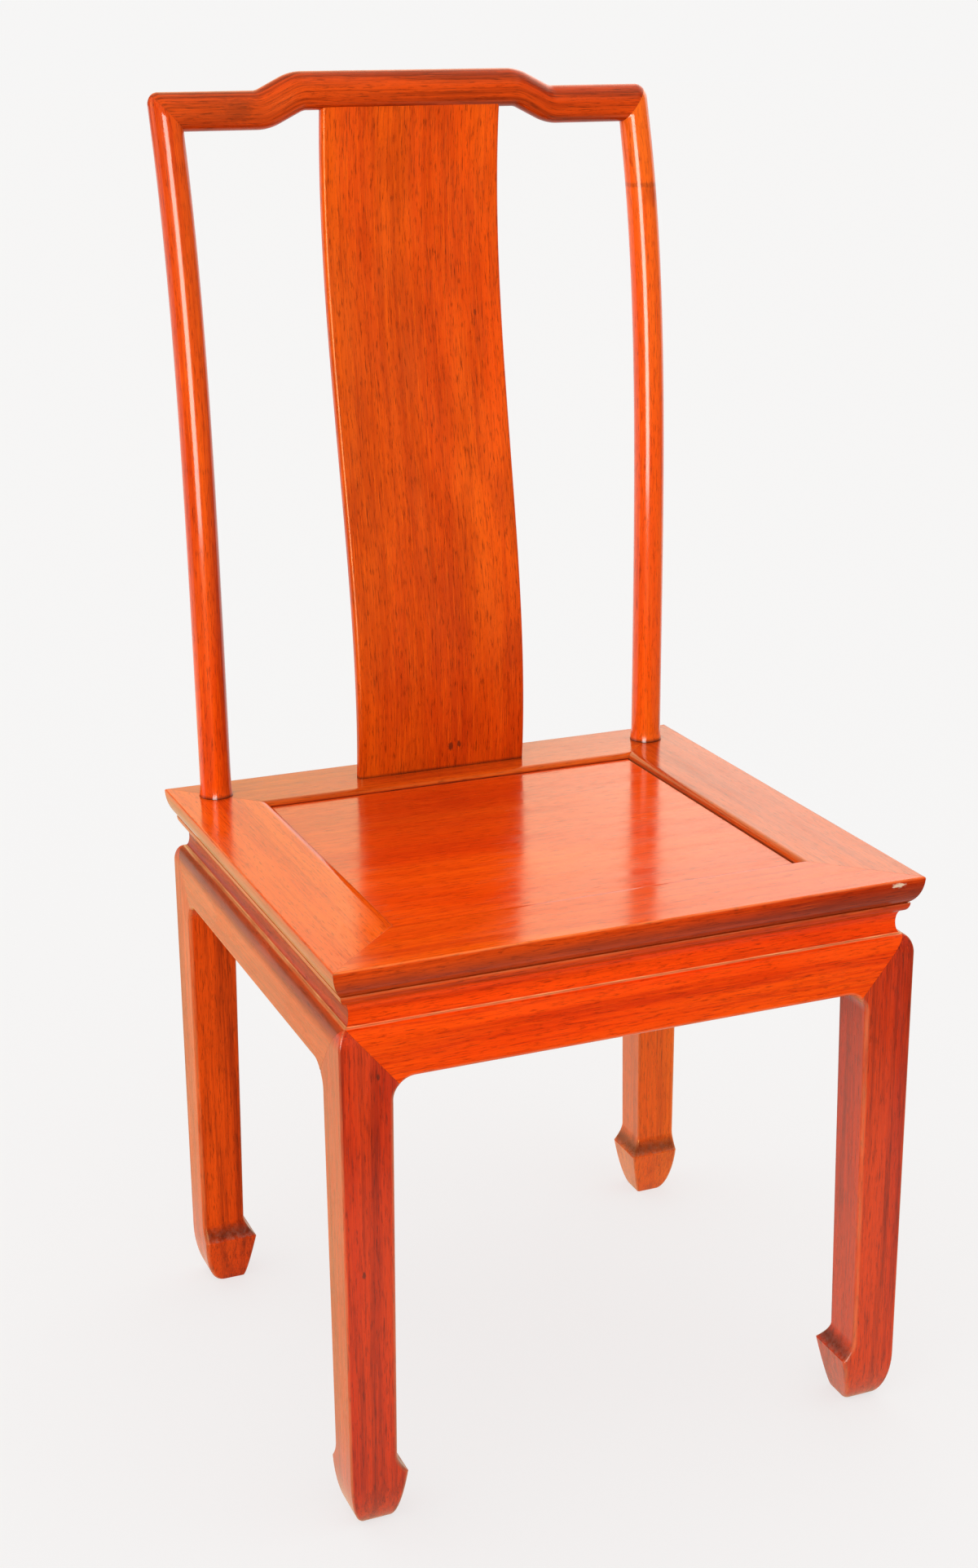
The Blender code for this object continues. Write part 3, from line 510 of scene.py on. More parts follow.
def apron_ring(side, along, bottom):
    """Section of an apron: shouldered face, rounded lower edge, plain back."""
    points = [(LEG_INSET + shoulder_inset(z), z) for z in reversed(shoulder_heights())]
    for q in steps(CORNER_STEPS):
        turn = q * math.pi / 2
        inset = LEG_INSET + EDGE_ROUND * (1 - math.cos(turn))
        points.append((inset, bottom + EDGE_ROUND * (1 - math.sin(turn))))
    points += [(BACK_OF_APRON - ARRIS, bottom), (BACK_OF_APRON, bottom + ARRIS)]
    points.append((BACK_OF_APRON, APRON_TOP))
    turn = side_turn(side)
    outer = SIDES[side][1]
    return [turn @ Vector((along, inset - outer, z)) for inset, z in points]


def apron_marks(shade):
    """A pale line under the waist, wear and painted highlight; painted shade below it; a little wear on
    the lower edge.
    """

    def marks(r, c):
        lower = c - CURVE_STEPS - 1
        if c < PALE_COLUMNS:
            return PALE_LINE / (1 + c), 0, 0
        if lower < 0:
            return 0, shade * math.sin(math.pi * c / CURVE_STEPS), 0
        if lower <= CORNER_STEPS:
            return LOWER_EDGE_WEAR * math.sin(math.pi * lower / CORNER_STEPS), 0, 0
        return 0, 0, 0

    return marks


def apron_stations(half):
    """Places along half an apron, each with the height of its lower edge, out past the mitre."""
    straight = half - LEG_INSET - LEG_TOP - ARCH_RADIUS
    stations = []
    for q in steps(CURVE_STEPS):
        turn = q * ARCH_TURN
        along = straight + ARCH_RADIUS * math.sin(turn)
        stations.append((along, ARCH_START + ARCH_RADIUS * math.cos(turn)))
    return stations + [(half, stations[-1][1])]


def leg_mitre_plane(side, end, gap):
    """A point on the sloping joint between an apron and a leg, and its upward normal."""
    _, outer, half = SIDES[side]
    turn = side_turn(side)
    arch_drop = APRON_TOP - ARCH_START - ARCH_RADIUS * math.sin(math.pi / 4)
    arch_inset = LEG_TOP + ARCH_RADIUS * (1 - math.cos(math.pi / 4))
    normal = Vector((-end * arch_drop, 0, arch_inset - SHOULDER_REACH)).normalized()
    tip = Vector((end * (half - LEG_INSET - SHOULDER_REACH), -outer, APRON_TOP))
    return turn @ (tip + gap * normal), turn.to_3x3() @ normal


def build_aprons():
    for side in SIDES:
        turn = side_turn(side)
        _, outer, half = SIDES[side]
        stations = apron_stations(half)
        rings = [apron_ring(side, -along, bottom) for along, bottom in reversed(stations)]
        rings += [apron_ring(side, along, bottom) for along, bottom in stations]
        # Only the side aprons are painted with shade on the shoulder
        marks = apron_marks(0 if side == "front" else SHOULDER_SHADE)
        apron = loft(f"apron_{side}_shouldered", rings, marks)
        for end in (-1, 1):
            corner = turn @ Vector((end * (half - MITRE_GAP), -outer, 0))
            saw(apron, corner, turn.to_3x3() @ Vector((end, 1, 0)))
            point, normal = leg_mitre_plane(side, end, MITRE_GAP)
            saw(apron, point, -normal)
        # The side aprons take a darker copy of the apron's wood with more sheen: painted shade
        finish = "apron" if side == "front" else "apron_side"
        keep(apron, f"apron_{side}", "apron", along_side(side), finish)


# Legs


def leg_levels():
    """Heights up a leg, each with the insets of its outer and inner faces.

    The last value of a level says how far out on the hoof's ledge it lies, from 0 to 1."""
    levels = []
    for q in steps(CURVE_STEPS):
        turn = (1 - q) * math.pi / 2
        height = HOOF_TIP_HEIGHT * (1 - math.sin(turn))
        outer = FOOT_INSET * (1 - math.cos(turn))
        slant = (height / HOOF_TIP_HEIGHT) ** HOOF_SLANT_POWER
        foot = FOOT_INSET + FOOT_SIZE
        levels.append((height, outer, foot + (HOOF_SPREAD - foot) * slant, 0.0))
    for q in steps(CURVE_STEPS)[1:]:
        hollow = (1 - q) ** LEDGE_HOLLOW
        height = HOOF_TIP_HEIGHT + HOOF_LEDGE_HEIGHT * q
        levels.append((height, 0.0, LEG_ANKLE + (HOOF_SPREAD - LEG_ANKLE) * hollow, hollow))
    for q in steps(CURVE_STEPS):
        turn = q * math.pi / 4
        inner = LEG_TOP + ARCH_RADIUS * (1 - math.cos(turn))
        levels.append((ARCH_START + ARCH_RADIUS * math.sin(turn), 0.0, inner, 0.0))
    widest = levels[-1][2]
    levels += [(height, shoulder_inset(height), widest, 0.0) for height in shoulder_heights()]
    return levels


def leg_ring(corner, height, outer, inner):
    """A square section with rounded edges, crisper at its outermost and innermost corners."""
    corners = (
        (outer, outer, LEG_ARRIS, 180),
        (inner, outer, EDGE_ROUND, 270),
        (inner, inner, LEG_ARRIS, 0),
        (outer, inner, EDGE_ROUND, 90),
    )
    ring = []
    for u, v, radius, first in corners:
        centre_u = u + (radius if u == outer else -radius)
        centre_v = v + (radius if v == outer else -radius)
        for q in steps(CORNER_STEPS):
            turn = math.radians(first + 90 * q)
            inset_x = LEG_INSET + centre_u + radius * math.cos(turn)
            inset_y = LEG_INSET + centre_v + radius * math.sin(turn)
            ring.append((*corner_point(corner, inset_x, inset_y), height))
    return ring


def leg_core(name, corner):
    """The stem behind the aprons, from inside the leg up to the frame."""
    low, high, blunt = CORE_START, CORE_END, CORE_MARGIN
    insets = [(low + blunt, low), (high, low), (high, high - blunt)]
    insets += [(high - blunt, high), (low, high), (low, low + blunt)]
    rings = []
    for z in (ARCH_START - FIT, FRAME_BOTTOM - FIT):
        rings.append([(*corner_point(corner, *inset), z) for inset in insets])
    return loft(name, rings, lambda r, c: (0, 0, 0))


def build_legs():
    levels = leg_levels()

    def marks(r, c):
        """Wear and painted highlight on the edges; on the inner faces, the hoof's hollow darker and dust
        on its ledge.
        """
        edge, place = divmod(c, CORNER_STEPS + 1)
        turned = place / CORNER_STEPS
        inner = (0.0, turned, 1.0, 1 - turned)[edge]
        ledge = levels[r][3]
        shade_and_grime = LEDGE_DARKENING * 4 * ledge * (1 - ledge)
        return LEG_WEAR_AND_HIGHLIGHT * math.sin(math.pi * turned), shade_and_grime * inner, LEDGE_DUST * ledge * inner

    for corner in CORNERS:
        name = f"leg_{corner_name(corner)}"
        leg = loft(f"{name}_hoofed", [leg_ring(corner, *level[:3]) for level in levels], marks)
        for side, end in corner_sides(corner):
            saw(leg, *leg_mitre_plane(side, end, -MITRE_GAP))
        join(leg, leg_core(f"{name}_core", corner))
        keep(leg, name, "leg", upright, LEG_FINISHES[corner])


# Back


def post_climb(height):
    return (height - SEAT_TOP) / (CREST_CENTRE - SEAT_TOP)


def post_y(height):
    """The curve of the posts seen from the side: almost upright, then sweeping back."""
    climb = post_climb(height)
    return POST_Y + POST_LEAN * climb + POST_SWEEP * max(0.0, climb) ** POST_SWEEP_POWER


CREST_Y = post_y(CREST_CENTRE)
CREST_LEAN = (POST_LEAN + POST_SWEEP * POST_SWEEP_POWER) / (CREST_CENTRE - SEAT_TOP)


def section_turns():
    return [2 * math.pi * i / ROUND_SIDES for i in range(ROUND_SIDES)]


def eased_corner(outward, turn):
    """Where a line on the round section lies in the mitred corner, in half sizes of the section."""
    ease = CORNER_EASE / POST_RADIUS * (1 + outward) / 2
    return outward - ease * (1 - math.cos(turn)), outward - ease * (1 - math.sin(turn))


def corner_ring(hand, turn, gap):
    """A ring of the back's round section in the corner between a post and the crest."""
    ring = []
    for angle in section_turns():
        across, up = eased_corner(math.sin(angle), turn)
        x = CREST_X + POST_RADIUS * across + gap * math.sin(turn)
        z = CREST_CENTRE + CREST_HEIGHT / 2 * up - gap * math.cos(turn)
        y = CREST_Y + CREST_LEAN * (z - CREST_CENTRE) + POST_RADIUS * math.cos(angle)
        ring.append((hand * x, y, z))
    return ring


def post_ring(hand, height, radius):
    centre_x = POST_X + POST_SPLAY * post_climb(height)
    centre_y = post_y(height)
    ring = []
    for angle in section_turns():
        x = hand * (centre_x + radius * math.sin(angle))
        ring.append((x, centre_y + radius * math.cos(angle), height))
    return ring


def build_posts():
    foot = SEAT_TOP + FIT
    for name, hand in (("post_left", -1), ("post_right", 1)):
        rings = []
        for q in steps(FLARE_STEPS):
            flare = POST_FLARE * (1 - q) ** 2
            rings.append(post_ring(hand, foot + POST_FLARE_HEIGHT * q, POST_RADIUS + flare))
        start, end = foot + POST_FLARE_HEIGHT, CREST_CENTRE - CREST_HEIGHT
        for q in steps(3 * CURVE_STEPS)[1:]:
            height = start + (end - start) * q**POST_SPACING_POWER
            rings.append(post_ring(hand, height, POST_RADIUS))
        rings += [corner_ring(hand, q * math.pi / 4, MITRE_GAP * q) for q in steps(2 * CORNER_STEPS)]
        # Painted shade at the foot of the post
        post = loft(f"{name}_round", rings, lambda r, c: (0, max(0, 1 - r / POST_SHADED_RINGS), 0))

        def grain(point, hand=hand):
            return point.z, point.x - hand * POST_X, point.y - post_y(point.z)

        # The right post takes a lighter copy of the posts' wood: painted light
        keep(post, name, "back", grain, "post" if hand < 0 else "post_light")


def crest_line(x):
    """Height of the crest's centre line above its ends, and its slope, at a distance from the middle."""
    run = (STEP_START - x) / STEP_LENGTH
    if run <= 0:
        return 0.0, 0.0
    if run >= 1:
        return CREST_RISE, 0.0
    slope = 1 / (1 - STEP_BEND)
    if run < STEP_BEND:
        climb, grade = slope * run * run / (2 * STEP_BEND), slope * run / STEP_BEND
    elif run > 1 - STEP_BEND:
        rest = 1 - run
        climb, grade = 1 - slope * rest * rest / (2 * STEP_BEND), slope * rest / STEP_BEND
    else:
        climb, grade = slope * (run - STEP_BEND / 2), slope
    return CREST_RISE * climb, CREST_RISE * grade / STEP_LENGTH


def crest_ring(hand, x):
    """The crest's section square to its centre line, leaning back as the posts do."""
    rise, slope = crest_line(x)
    length = math.hypot(1, slope)
    ring = []
    for angle in section_turns():
        up = CREST_HEIGHT / 2 * math.sin(angle)
        place_x = x + up * slope / length
        place_y = CREST_Y + CREST_LEAN * up + POST_RADIUS * math.cos(angle)
        ring.append((hand * place_x, place_y, CREST_CENTRE + rise + up / length))
    return ring


def build_crest():
    half = []
    for q in steps(2 * CORNER_STEPS):
        half.append(corner_ring(1, math.pi / 4 * (1 + q), -MITRE_GAP * (1 - q)))
    half += [crest_ring(1, STEP_START - STEP_LENGTH * q) for q in steps(2 * CURVE_STEPS)]
    other = [[(-x, y, z) for x, y, z in ring] for ring in reversed(half)]
    crest = loft("crest_rail_stepped", half + other, lambda r, c: (0, 0, 0))

    def grain(point):
        return point.x, point.z - crest_line(abs(point.x))[0], point.y

    keep(crest, "crest_rail", "back", grain, "crest")


def splat_y(height):
    """The S of the splat seen from the side: forward low down, back behind the shoulders."""
    low, high = SPLAT_LOW_POINT, SPLAT_HIGH_POINT
    climb = post_climb(height)
    rate = 6 * SPLAT_SWING / (high - low) ** 3
    return SPLAT_Y + rate * (-(climb**3) / 3 + (low + high) / 2 * climb**2 - low * high * climb)


def build_splat():
    bottom = SEAT_TOP - SPLAT_HOUSING
    top = CREST_CENTRE + CREST_RISE - CREST_HEIGHT / 2 + SPLAT_HOUSING
    half_thickness = SPLAT_THICKNESS / 2
    rings = []
    heights = [bottom, SEAT_TOP, SEAT_TOP + SPLAT_SHADE_STEP]
    start = SEAT_TOP + 2 * SPLAT_SHADE_STEP
    heights += [start + (top - start) * q for q in steps(4 * CURVE_STEPS)]
    for height in heights:
        half_width = (SPLAT_WIDTH - SPLAT_TAPER * (1 - post_climb(height))) / 2
        ring = []
        for sign_x, sign_y, first in ((1, 1, 0), (-1, 1, 90), (-1, -1, 180), (1, -1, 270)):
            for part in steps(CORNER_STEPS):
                turn = math.radians(first + 90 * part)
                x = sign_x * (half_width - SPLAT_EDGE_ROUND) + SPLAT_EDGE_ROUND * math.cos(turn)
                y = sign_y * (half_thickness - SPLAT_EDGE_ROUND) + SPLAT_EDGE_ROUND * math.sin(turn)
                ring.append((x, splat_y(height) + y, height))
        rings.append(ring)

    # Painted shade at the foot, where the splat meets the seat
    def marks(r, c):
        return 0, min(1, max(0, (SPLAT_SHADED_RINGS - r) / SPLAT_FADING_RINGS)), 0

    def grain(point):
        return point.z, point.x, point.y - splat_y(point.z)

    keep(loft("splat_curved", rings, marks), "splat", "splat", grain)


# Rosewood: tones of the varnish and of what marks the wood, painted highlights and painted shade among
# them

AMBER = (1.0, 0.58, 0.18)
CLEAR = (1.0, 0.90, 0.80)
HONEY = (1.0, 0.64, 0.18)
# Wear, in a pale tone that also stands for painted highlights on edges
WORN_AND_LIT = (0.95, 0.54, 0.22)
# Painted shade in hollows, creases, joints and under parts, with grime
SHADE_AND_GRIME = (0.06, 0.008, 0.004)
DUST = (0.42, 0.30, 0.24)
KNOT = (0.06, 0.012, 0.006)
CHIP = (0.90, 0.70, 0.50)
# Heartwood, and the tone of painted shade on some pieces
HEART_AND_SHADE = (0.36, 0.028, 0.003)

# Patterns: cells a metre along, across and into the wood, then detail, roughness and distortion
PATTERNS = {
    "figure": ((2.2, 20, 20), 2, 0.5, 0.1),
    "bands": ((2.6, 115, 115), 4, 0.62, 0.1),
    "streaks": ((7, 360, 360), 4, 0.7),
    "flecks": ((85, 620, 620), 3, 0.7),
    "fibres": ((24, 1300, 1300), 2, 0.6),
    "pores": ((60, 1700, 1700), 1),
    "mottle": ((12, 45, 45), 2),
    "ragged": ((30, 300, 300), 2),
    "speckle": ((260, 260, 260), 3, 0.7),
    "smear": ((14, 55, 55), 3, 0.6),
    "wave": ((6, 30, 30), 1),
}
RAGGED_SPOT = ((300, 700, 700), 2)

# The values of a pattern between which it comes to show fully
FIGURE_LIGHT = (0.35, 0.68)
FIGURE_DARK = (0.20, 0.46)
SHOWING = {
    "bands": (0.44, 0.70),
    "streaks": (0.48, 0.68),
    "mottle": (0.42, 0.68),
    "flecks": (0.50, 0.74),
    "fibres": (0.52, 0.72),
    "pores": (0.61, 0.76),
}
DEEP_SHARE = 0.40
FIBRE_SHARE = 0.6
PORE_SHARE = 0.75

# As a pattern goes from the first value to the second, its effect goes from the third to the fourth
WEAR_AND_HIGHLIGHT_RAMP = (0.35, 0.65, 0.2, 0.45)
SHADE_AND_GRIME_RAMP = (0.2, 0.6, 0.6, 0.95)
DUST_RAMP = (0.35, 0.7, 0.05, 0.6)
SPOT_RAMP = (0.3, 0.7, 0.7, 1.3)

# Distances from the middle of a spot, a heart or a patch of painted shade, in its sizes, between which
# it fades
SPOT_EDGE = (0.45, 1.0)
HEART_AND_SHADE_EDGE = (0.0, 1.2)

# Gloss and relief
SMEAR_RANGE = (0.3, 0.75)
SMEAR_GLOSSIER = 0.04
SMEAR_DULLER = 0.07
PORE_ROUGHNESS = 0.10
DUST_ROUGHNESS = 0.5
SHEEN_ROUGHNESS = 0.4
PORE_DEPTH = 0.25
STREAK_DEPTH = 0.10
BUMP_STRENGTH = 0.3
BUMP_DISTANCE = 0.0003


def new_material(name):
    """A material and the tree of its nodes."""
    material = bpy.data.materials.new(name)
    material.use_nodes = True
    return material, material.node_tree


def feed(tree, shader, inputs):
    """Gives a shader node its inputs, each of them a value or the socket that feeds it."""
    for key, value in inputs.items():
        if isinstance(value, bpy.types.NodeSocket):
            tree.links.new(value, shader.inputs[key])
        else:
            shader.inputs[key].default_value = value


def add_node(tree, kind, inputs, **settings):
    """Adds a shader node with its settings and inputs. Returns the node."""
    added = tree.nodes.new(kind)
    for name, value in settings.items():
        setattr(added, name, value)
    feed(tree, added, inputs)
    return added


def noise(tree, place, stretch, detail, roughness=0.5, distortion=0.0):
    """Noise with so many cells a metre along, across and into the wood."""
    scaled = add_node(tree, "ShaderNodeVectorMath", {0: place, 1: stretch}, operation="MULTIPLY")
    inputs = {"Vector": scaled.outputs[0], "Scale": 1.0, "Detail": detail}
    inputs |= {"Roughness": roughness, "Distortion": distortion}
    return add_node(tree, "ShaderNodeTexNoise", inputs).outputs[0]


def between(tree, value, low, high, start=0.0, end=1.0):
    """Eases a value from start to end as it goes from low to high."""
    inputs = {0: value, 1: low, 2: high, 3: start, 4: end}
    return add_node(tree, "ShaderNodeMapRange", inputs, interpolation_type="SMOOTHSTEP").outputs[0]


def arithmetic(tree, operation, first, second):
    return add_node(tree, "ShaderNodeMath", {0: first, 1: second}, operation=operation).outputs[0]


def mix(tree, factor, first, second):
    """Mixes two colours."""
    inputs = {0: factor, 6: first, 7: second}
    return add_node(tree, "ShaderNodeMix", inputs, data_type="RGBA").outputs[2]


def distance_from(tree, place, node, centre, size):
    """How far a point of the wood lies from a place in the grain of one node, in units of a size."""
    middle = Vector(centre) + grain_start(node)
    away = add_node(tree, "ShaderNodeVectorMath", {0: place, 1: middle}, operation="SUBTRACT").outputs[0]
    away = add_node(tree, "ShaderNodeVectorMath", {0: away, 1: size}, operation="DIVIDE").outputs[0]
    return add_node(tree, "ShaderNodeVectorMath", {0: away}, operation="LENGTH").outputs[1]


def heartwood_and_shade(tree, place, colour, hearts_and_shade):
    """Darkens the wood softly around places in its grain: heartwood in some, painted shade in others."""
    for node, centre, size, strength in hearts_and_shade:
        distance = distance_from(tree, place, node, centre, size)
        colour = mix(tree, between(tree, distance, *HEART_AND_SHADE_EDGE, strength, 0.0), colour, (*HEART_AND_SHADE, 1))
    return colour


def spotted(tree, place, colour, spots):
    """Adds small knots and chips with ragged edges at places in the grain."""
    for node, centre, size, tone, strength in spots:
        distance = distance_from(tree, place, node, centre, size)
        ragged = between(tree, noise(tree, place, *RAGGED_SPOT), *SPOT_RAMP)
        distance = arithmetic(tree, "MULTIPLY", distance, ragged)
        colour = mix(tree, between(tree, distance, *SPOT_EDGE, strength, 0.0), colour, (*tone, 1))
    return colour


def marked(tree, colour, patterns):
    """Lays wear and painted highlights, painted shade and grime, and dust where the mesh is marked.
    Returns the colour and the dust.
    """
    marks = add_node(tree, "ShaderNodeAttribute", {}, attribute_name="marks").outputs["Vector"]
    worn_and_lit, darkened, dusty = add_node(tree, "ShaderNodeSeparateXYZ", {0: marks}).outputs
    wear_and_highlight = arithmetic(tree, "MULTIPLY", worn_and_lit, between(tree, patterns["ragged"], *WEAR_AND_HIGHLIGHT_RAMP))
    shade_and_grime = arithmetic(tree, "MULTIPLY", darkened, between(tree, patterns["mottle"], *SHADE_AND_GRIME_RAMP))
    dust = arithmetic(tree, "MULTIPLY", dusty, between(tree, patterns["speckle"], *DUST_RAMP))
    for share, tone in ((wear_and_highlight, WORN_AND_LIT), (shade_and_grime, SHADE_AND_GRIME), (dust, DUST)):
        colour = mix(tree, share, colour, (*tone, 1))
    return colour, dust


def relief(tree, patterns, pores):
    """Slow waves of the surface, cut by pores and streaks."""
    height = patterns["wave"]
    for pattern, depth in ((pores, PORE_DEPTH), (patterns["streaks"], STREAK_DEPTH)):
        height = arithmetic(tree, "SUBTRACT", height, arithmetic(tree, "MULTIPLY", pattern, depth))
    inputs = {"Height": height, "Strength": BUMP_STRENGTH, "Distance": BUMP_DISTANCE}
    return add_node(tree, "ShaderNodeBump", inputs).outputs[0]


def grain_place(tree, turned):
    """Places along, across and into the wood: written on a piece, or taken from its own axes."""
    if not turned:
        return add_node(tree, "ShaderNodeAttribute", {}, attribute_name="grain").outputs["Vector"]
    own = add_node(tree, "ShaderNodeTexCoord", {}).outputs["Object"]
    own = add_node(tree, "ShaderNodeSeparateXYZ", {0: own}).outputs
    return add_node(tree, "ShaderNodeCombineXYZ", {0: own[1], 1: own[0], 2: own[2]}).outputs[0]


def rosewood(
    name, light, middle, dark, gloss, ior=1.5, coat=0.0, coat_gloss=0.12, sheen=0.0, tint=AMBER,
    figured=0.45, banded=0.65, streaked=0.5, flecked=0.6, clouded=0.1, hearts_and_shade=(), spots=(), turned=False,
):
    """Varnished rosewood: figure, streaks and pores along the grain, edges worn and painted with
    highlights, and painted shade in joints and hollows.
    """
    material, tree = new_material(name)
    place = grain_place(tree, turned)
    patterns = {key: noise(tree, place, *pattern) for key, pattern in PATTERNS.items()}
    pores = between(tree, patterns["pores"], *SHOWING["pores"])

    figure = patterns["figure"]
    colour = mix(tree, between(tree, figure, *FIGURE_LIGHT), (*middle, 1), (*light, 1))
    colour = mix(tree, between(tree, figure, *FIGURE_DARK, figured, 0.0), colour, (*dark, 1))
    colour = heartwood_and_shade(tree, place, colour, hearts_and_shade)
    deep = [DEEP_SHARE * part for part in dark]
    layers = (
        ("bands", banded, dark),
        ("streaks", streaked, dark),
        ("mottle", clouded, dark),
        ("flecks", flecked, deep),
        ("fibres", FIBRE_SHARE, light),
        ("pores", PORE_SHARE, deep),
    )
    for key, share, tone in layers:
        shown = between(tree, patterns[key], *SHOWING[key], 0.0, share)
        colour = mix(tree, shown, colour, (*tone, 1))
    colour = spotted(tree, place, colour, spots)
    colour, dust = marked(tree, colour, patterns)

    rough = between(tree, patterns["smear"], *SMEAR_RANGE, gloss - SMEAR_GLOSSIER, gloss + SMEAR_DULLER)
    for share, amount in ((pores, PORE_ROUGHNESS), (dust, DUST_ROUGHNESS)):
        rough = arithmetic(tree, "ADD", rough, arithmetic(tree, "MULTIPLY", share, amount))

    inputs = {
        "Base Color": colour,
        "Roughness": rough,
        "Normal": relief(tree, patterns, pores),
        "IOR": ior,
        "Specular Tint": (*tint, 1),
        "Coat Weight": coat,
        "Coat Roughness": coat_gloss,
        "Sheen Weight": sheen,
        "Sheen Roughness": SHEEN_ROUGHNESS,
        "Sheen Tint": (*HONEY, 1),
    }
    feed(tree, tree.nodes["Principled BSDF"], inputs)
    return material


# Knots, chips and rings: the node, the place in its grain, the size, tone and strength
LEG_SPOTS = (
    ("leg_front_left", (0.3738, -0.2071, -0.219), (0.0026, 0.0015, 0.004), KNOT, 0.65),
    ("leg_front_left", (0.2174, -0.2215, -0.219), (0.004, 0.0018, 0.004), KNOT, 0.7),
)
SPLAT_SPOTS = (
    ("splat", (0.4804, 0.0072, -0.005), (0.005, 0.0026, 0.01), KNOT, 0.75),
    ("splat", (0.4817, 0.0149, -0.005), (0.004, 0.0022, 0.01), KNOT, 0.75),
    ("splat", (0.8499, 0.0531, -0.005), (0.003, 0.0014, 0.01), KNOT, 0.6),
)
POST_SPOTS = (("post_right", (0.951, 0.0, 0.0), (0.0026, 0.05, 0.05), KNOT, 0.3),)
CREST_SPOTS = (("crest_rail", (-0.150, 1.0191, 0.226), (0.014, 0.012, 0.03), KNOT, 0.25),)
FRAME_SPOTS = (("seat_front_rail", (0.216, 0.4564, -0.2228), (0.007, 0.0022, 0.004), CHIP, 0.8),)

# Heartwood, and painted shade that darkens like it: the node, the place in its grain, the size and
# strength
SPLAT_HEARTS_AND_SHADE = (
    ("splat", (0.76, -0.05, 0.0), (0.30, 0.12, 0.05), 0.38),
    # Painted shade: the splat darker towards its foot
    ("splat", (0.50, 0.0, 0.0), (0.20, 0.20, 0.05), 0.45),
)
POST_HEARTS_AND_SHADE = (
    # Painted shade: the left post darker on its right side, low down
    ("post_left", (0.60, 0.011, -0.008), (0.30, 0.014, 0.03), 0.95),
    ("post_left", (0.98, 0.0, 0.0), (0.26, 0.05, 0.05), 0.4),
    ("post_right", (0.943, 0.009, -0.009), (0.012, 0.012, 0.02), 0.6),
)
# Painted shade: the panel darker towards its back
PANEL_SHADE = (("seat_panel", (-0.06, 0.456, 0.10), (0.24, 0.20, 0.14), 0.5),)
CREST_HEARTS = (
    ("crest_rail", (-0.165, 1.010, 0.226), (0.07, 0.02, 0.03), 0.7),
    ("crest_rail", (0.0, 1.006, 0.226), (0.14, 0.015, 0.03), 0.6),
)

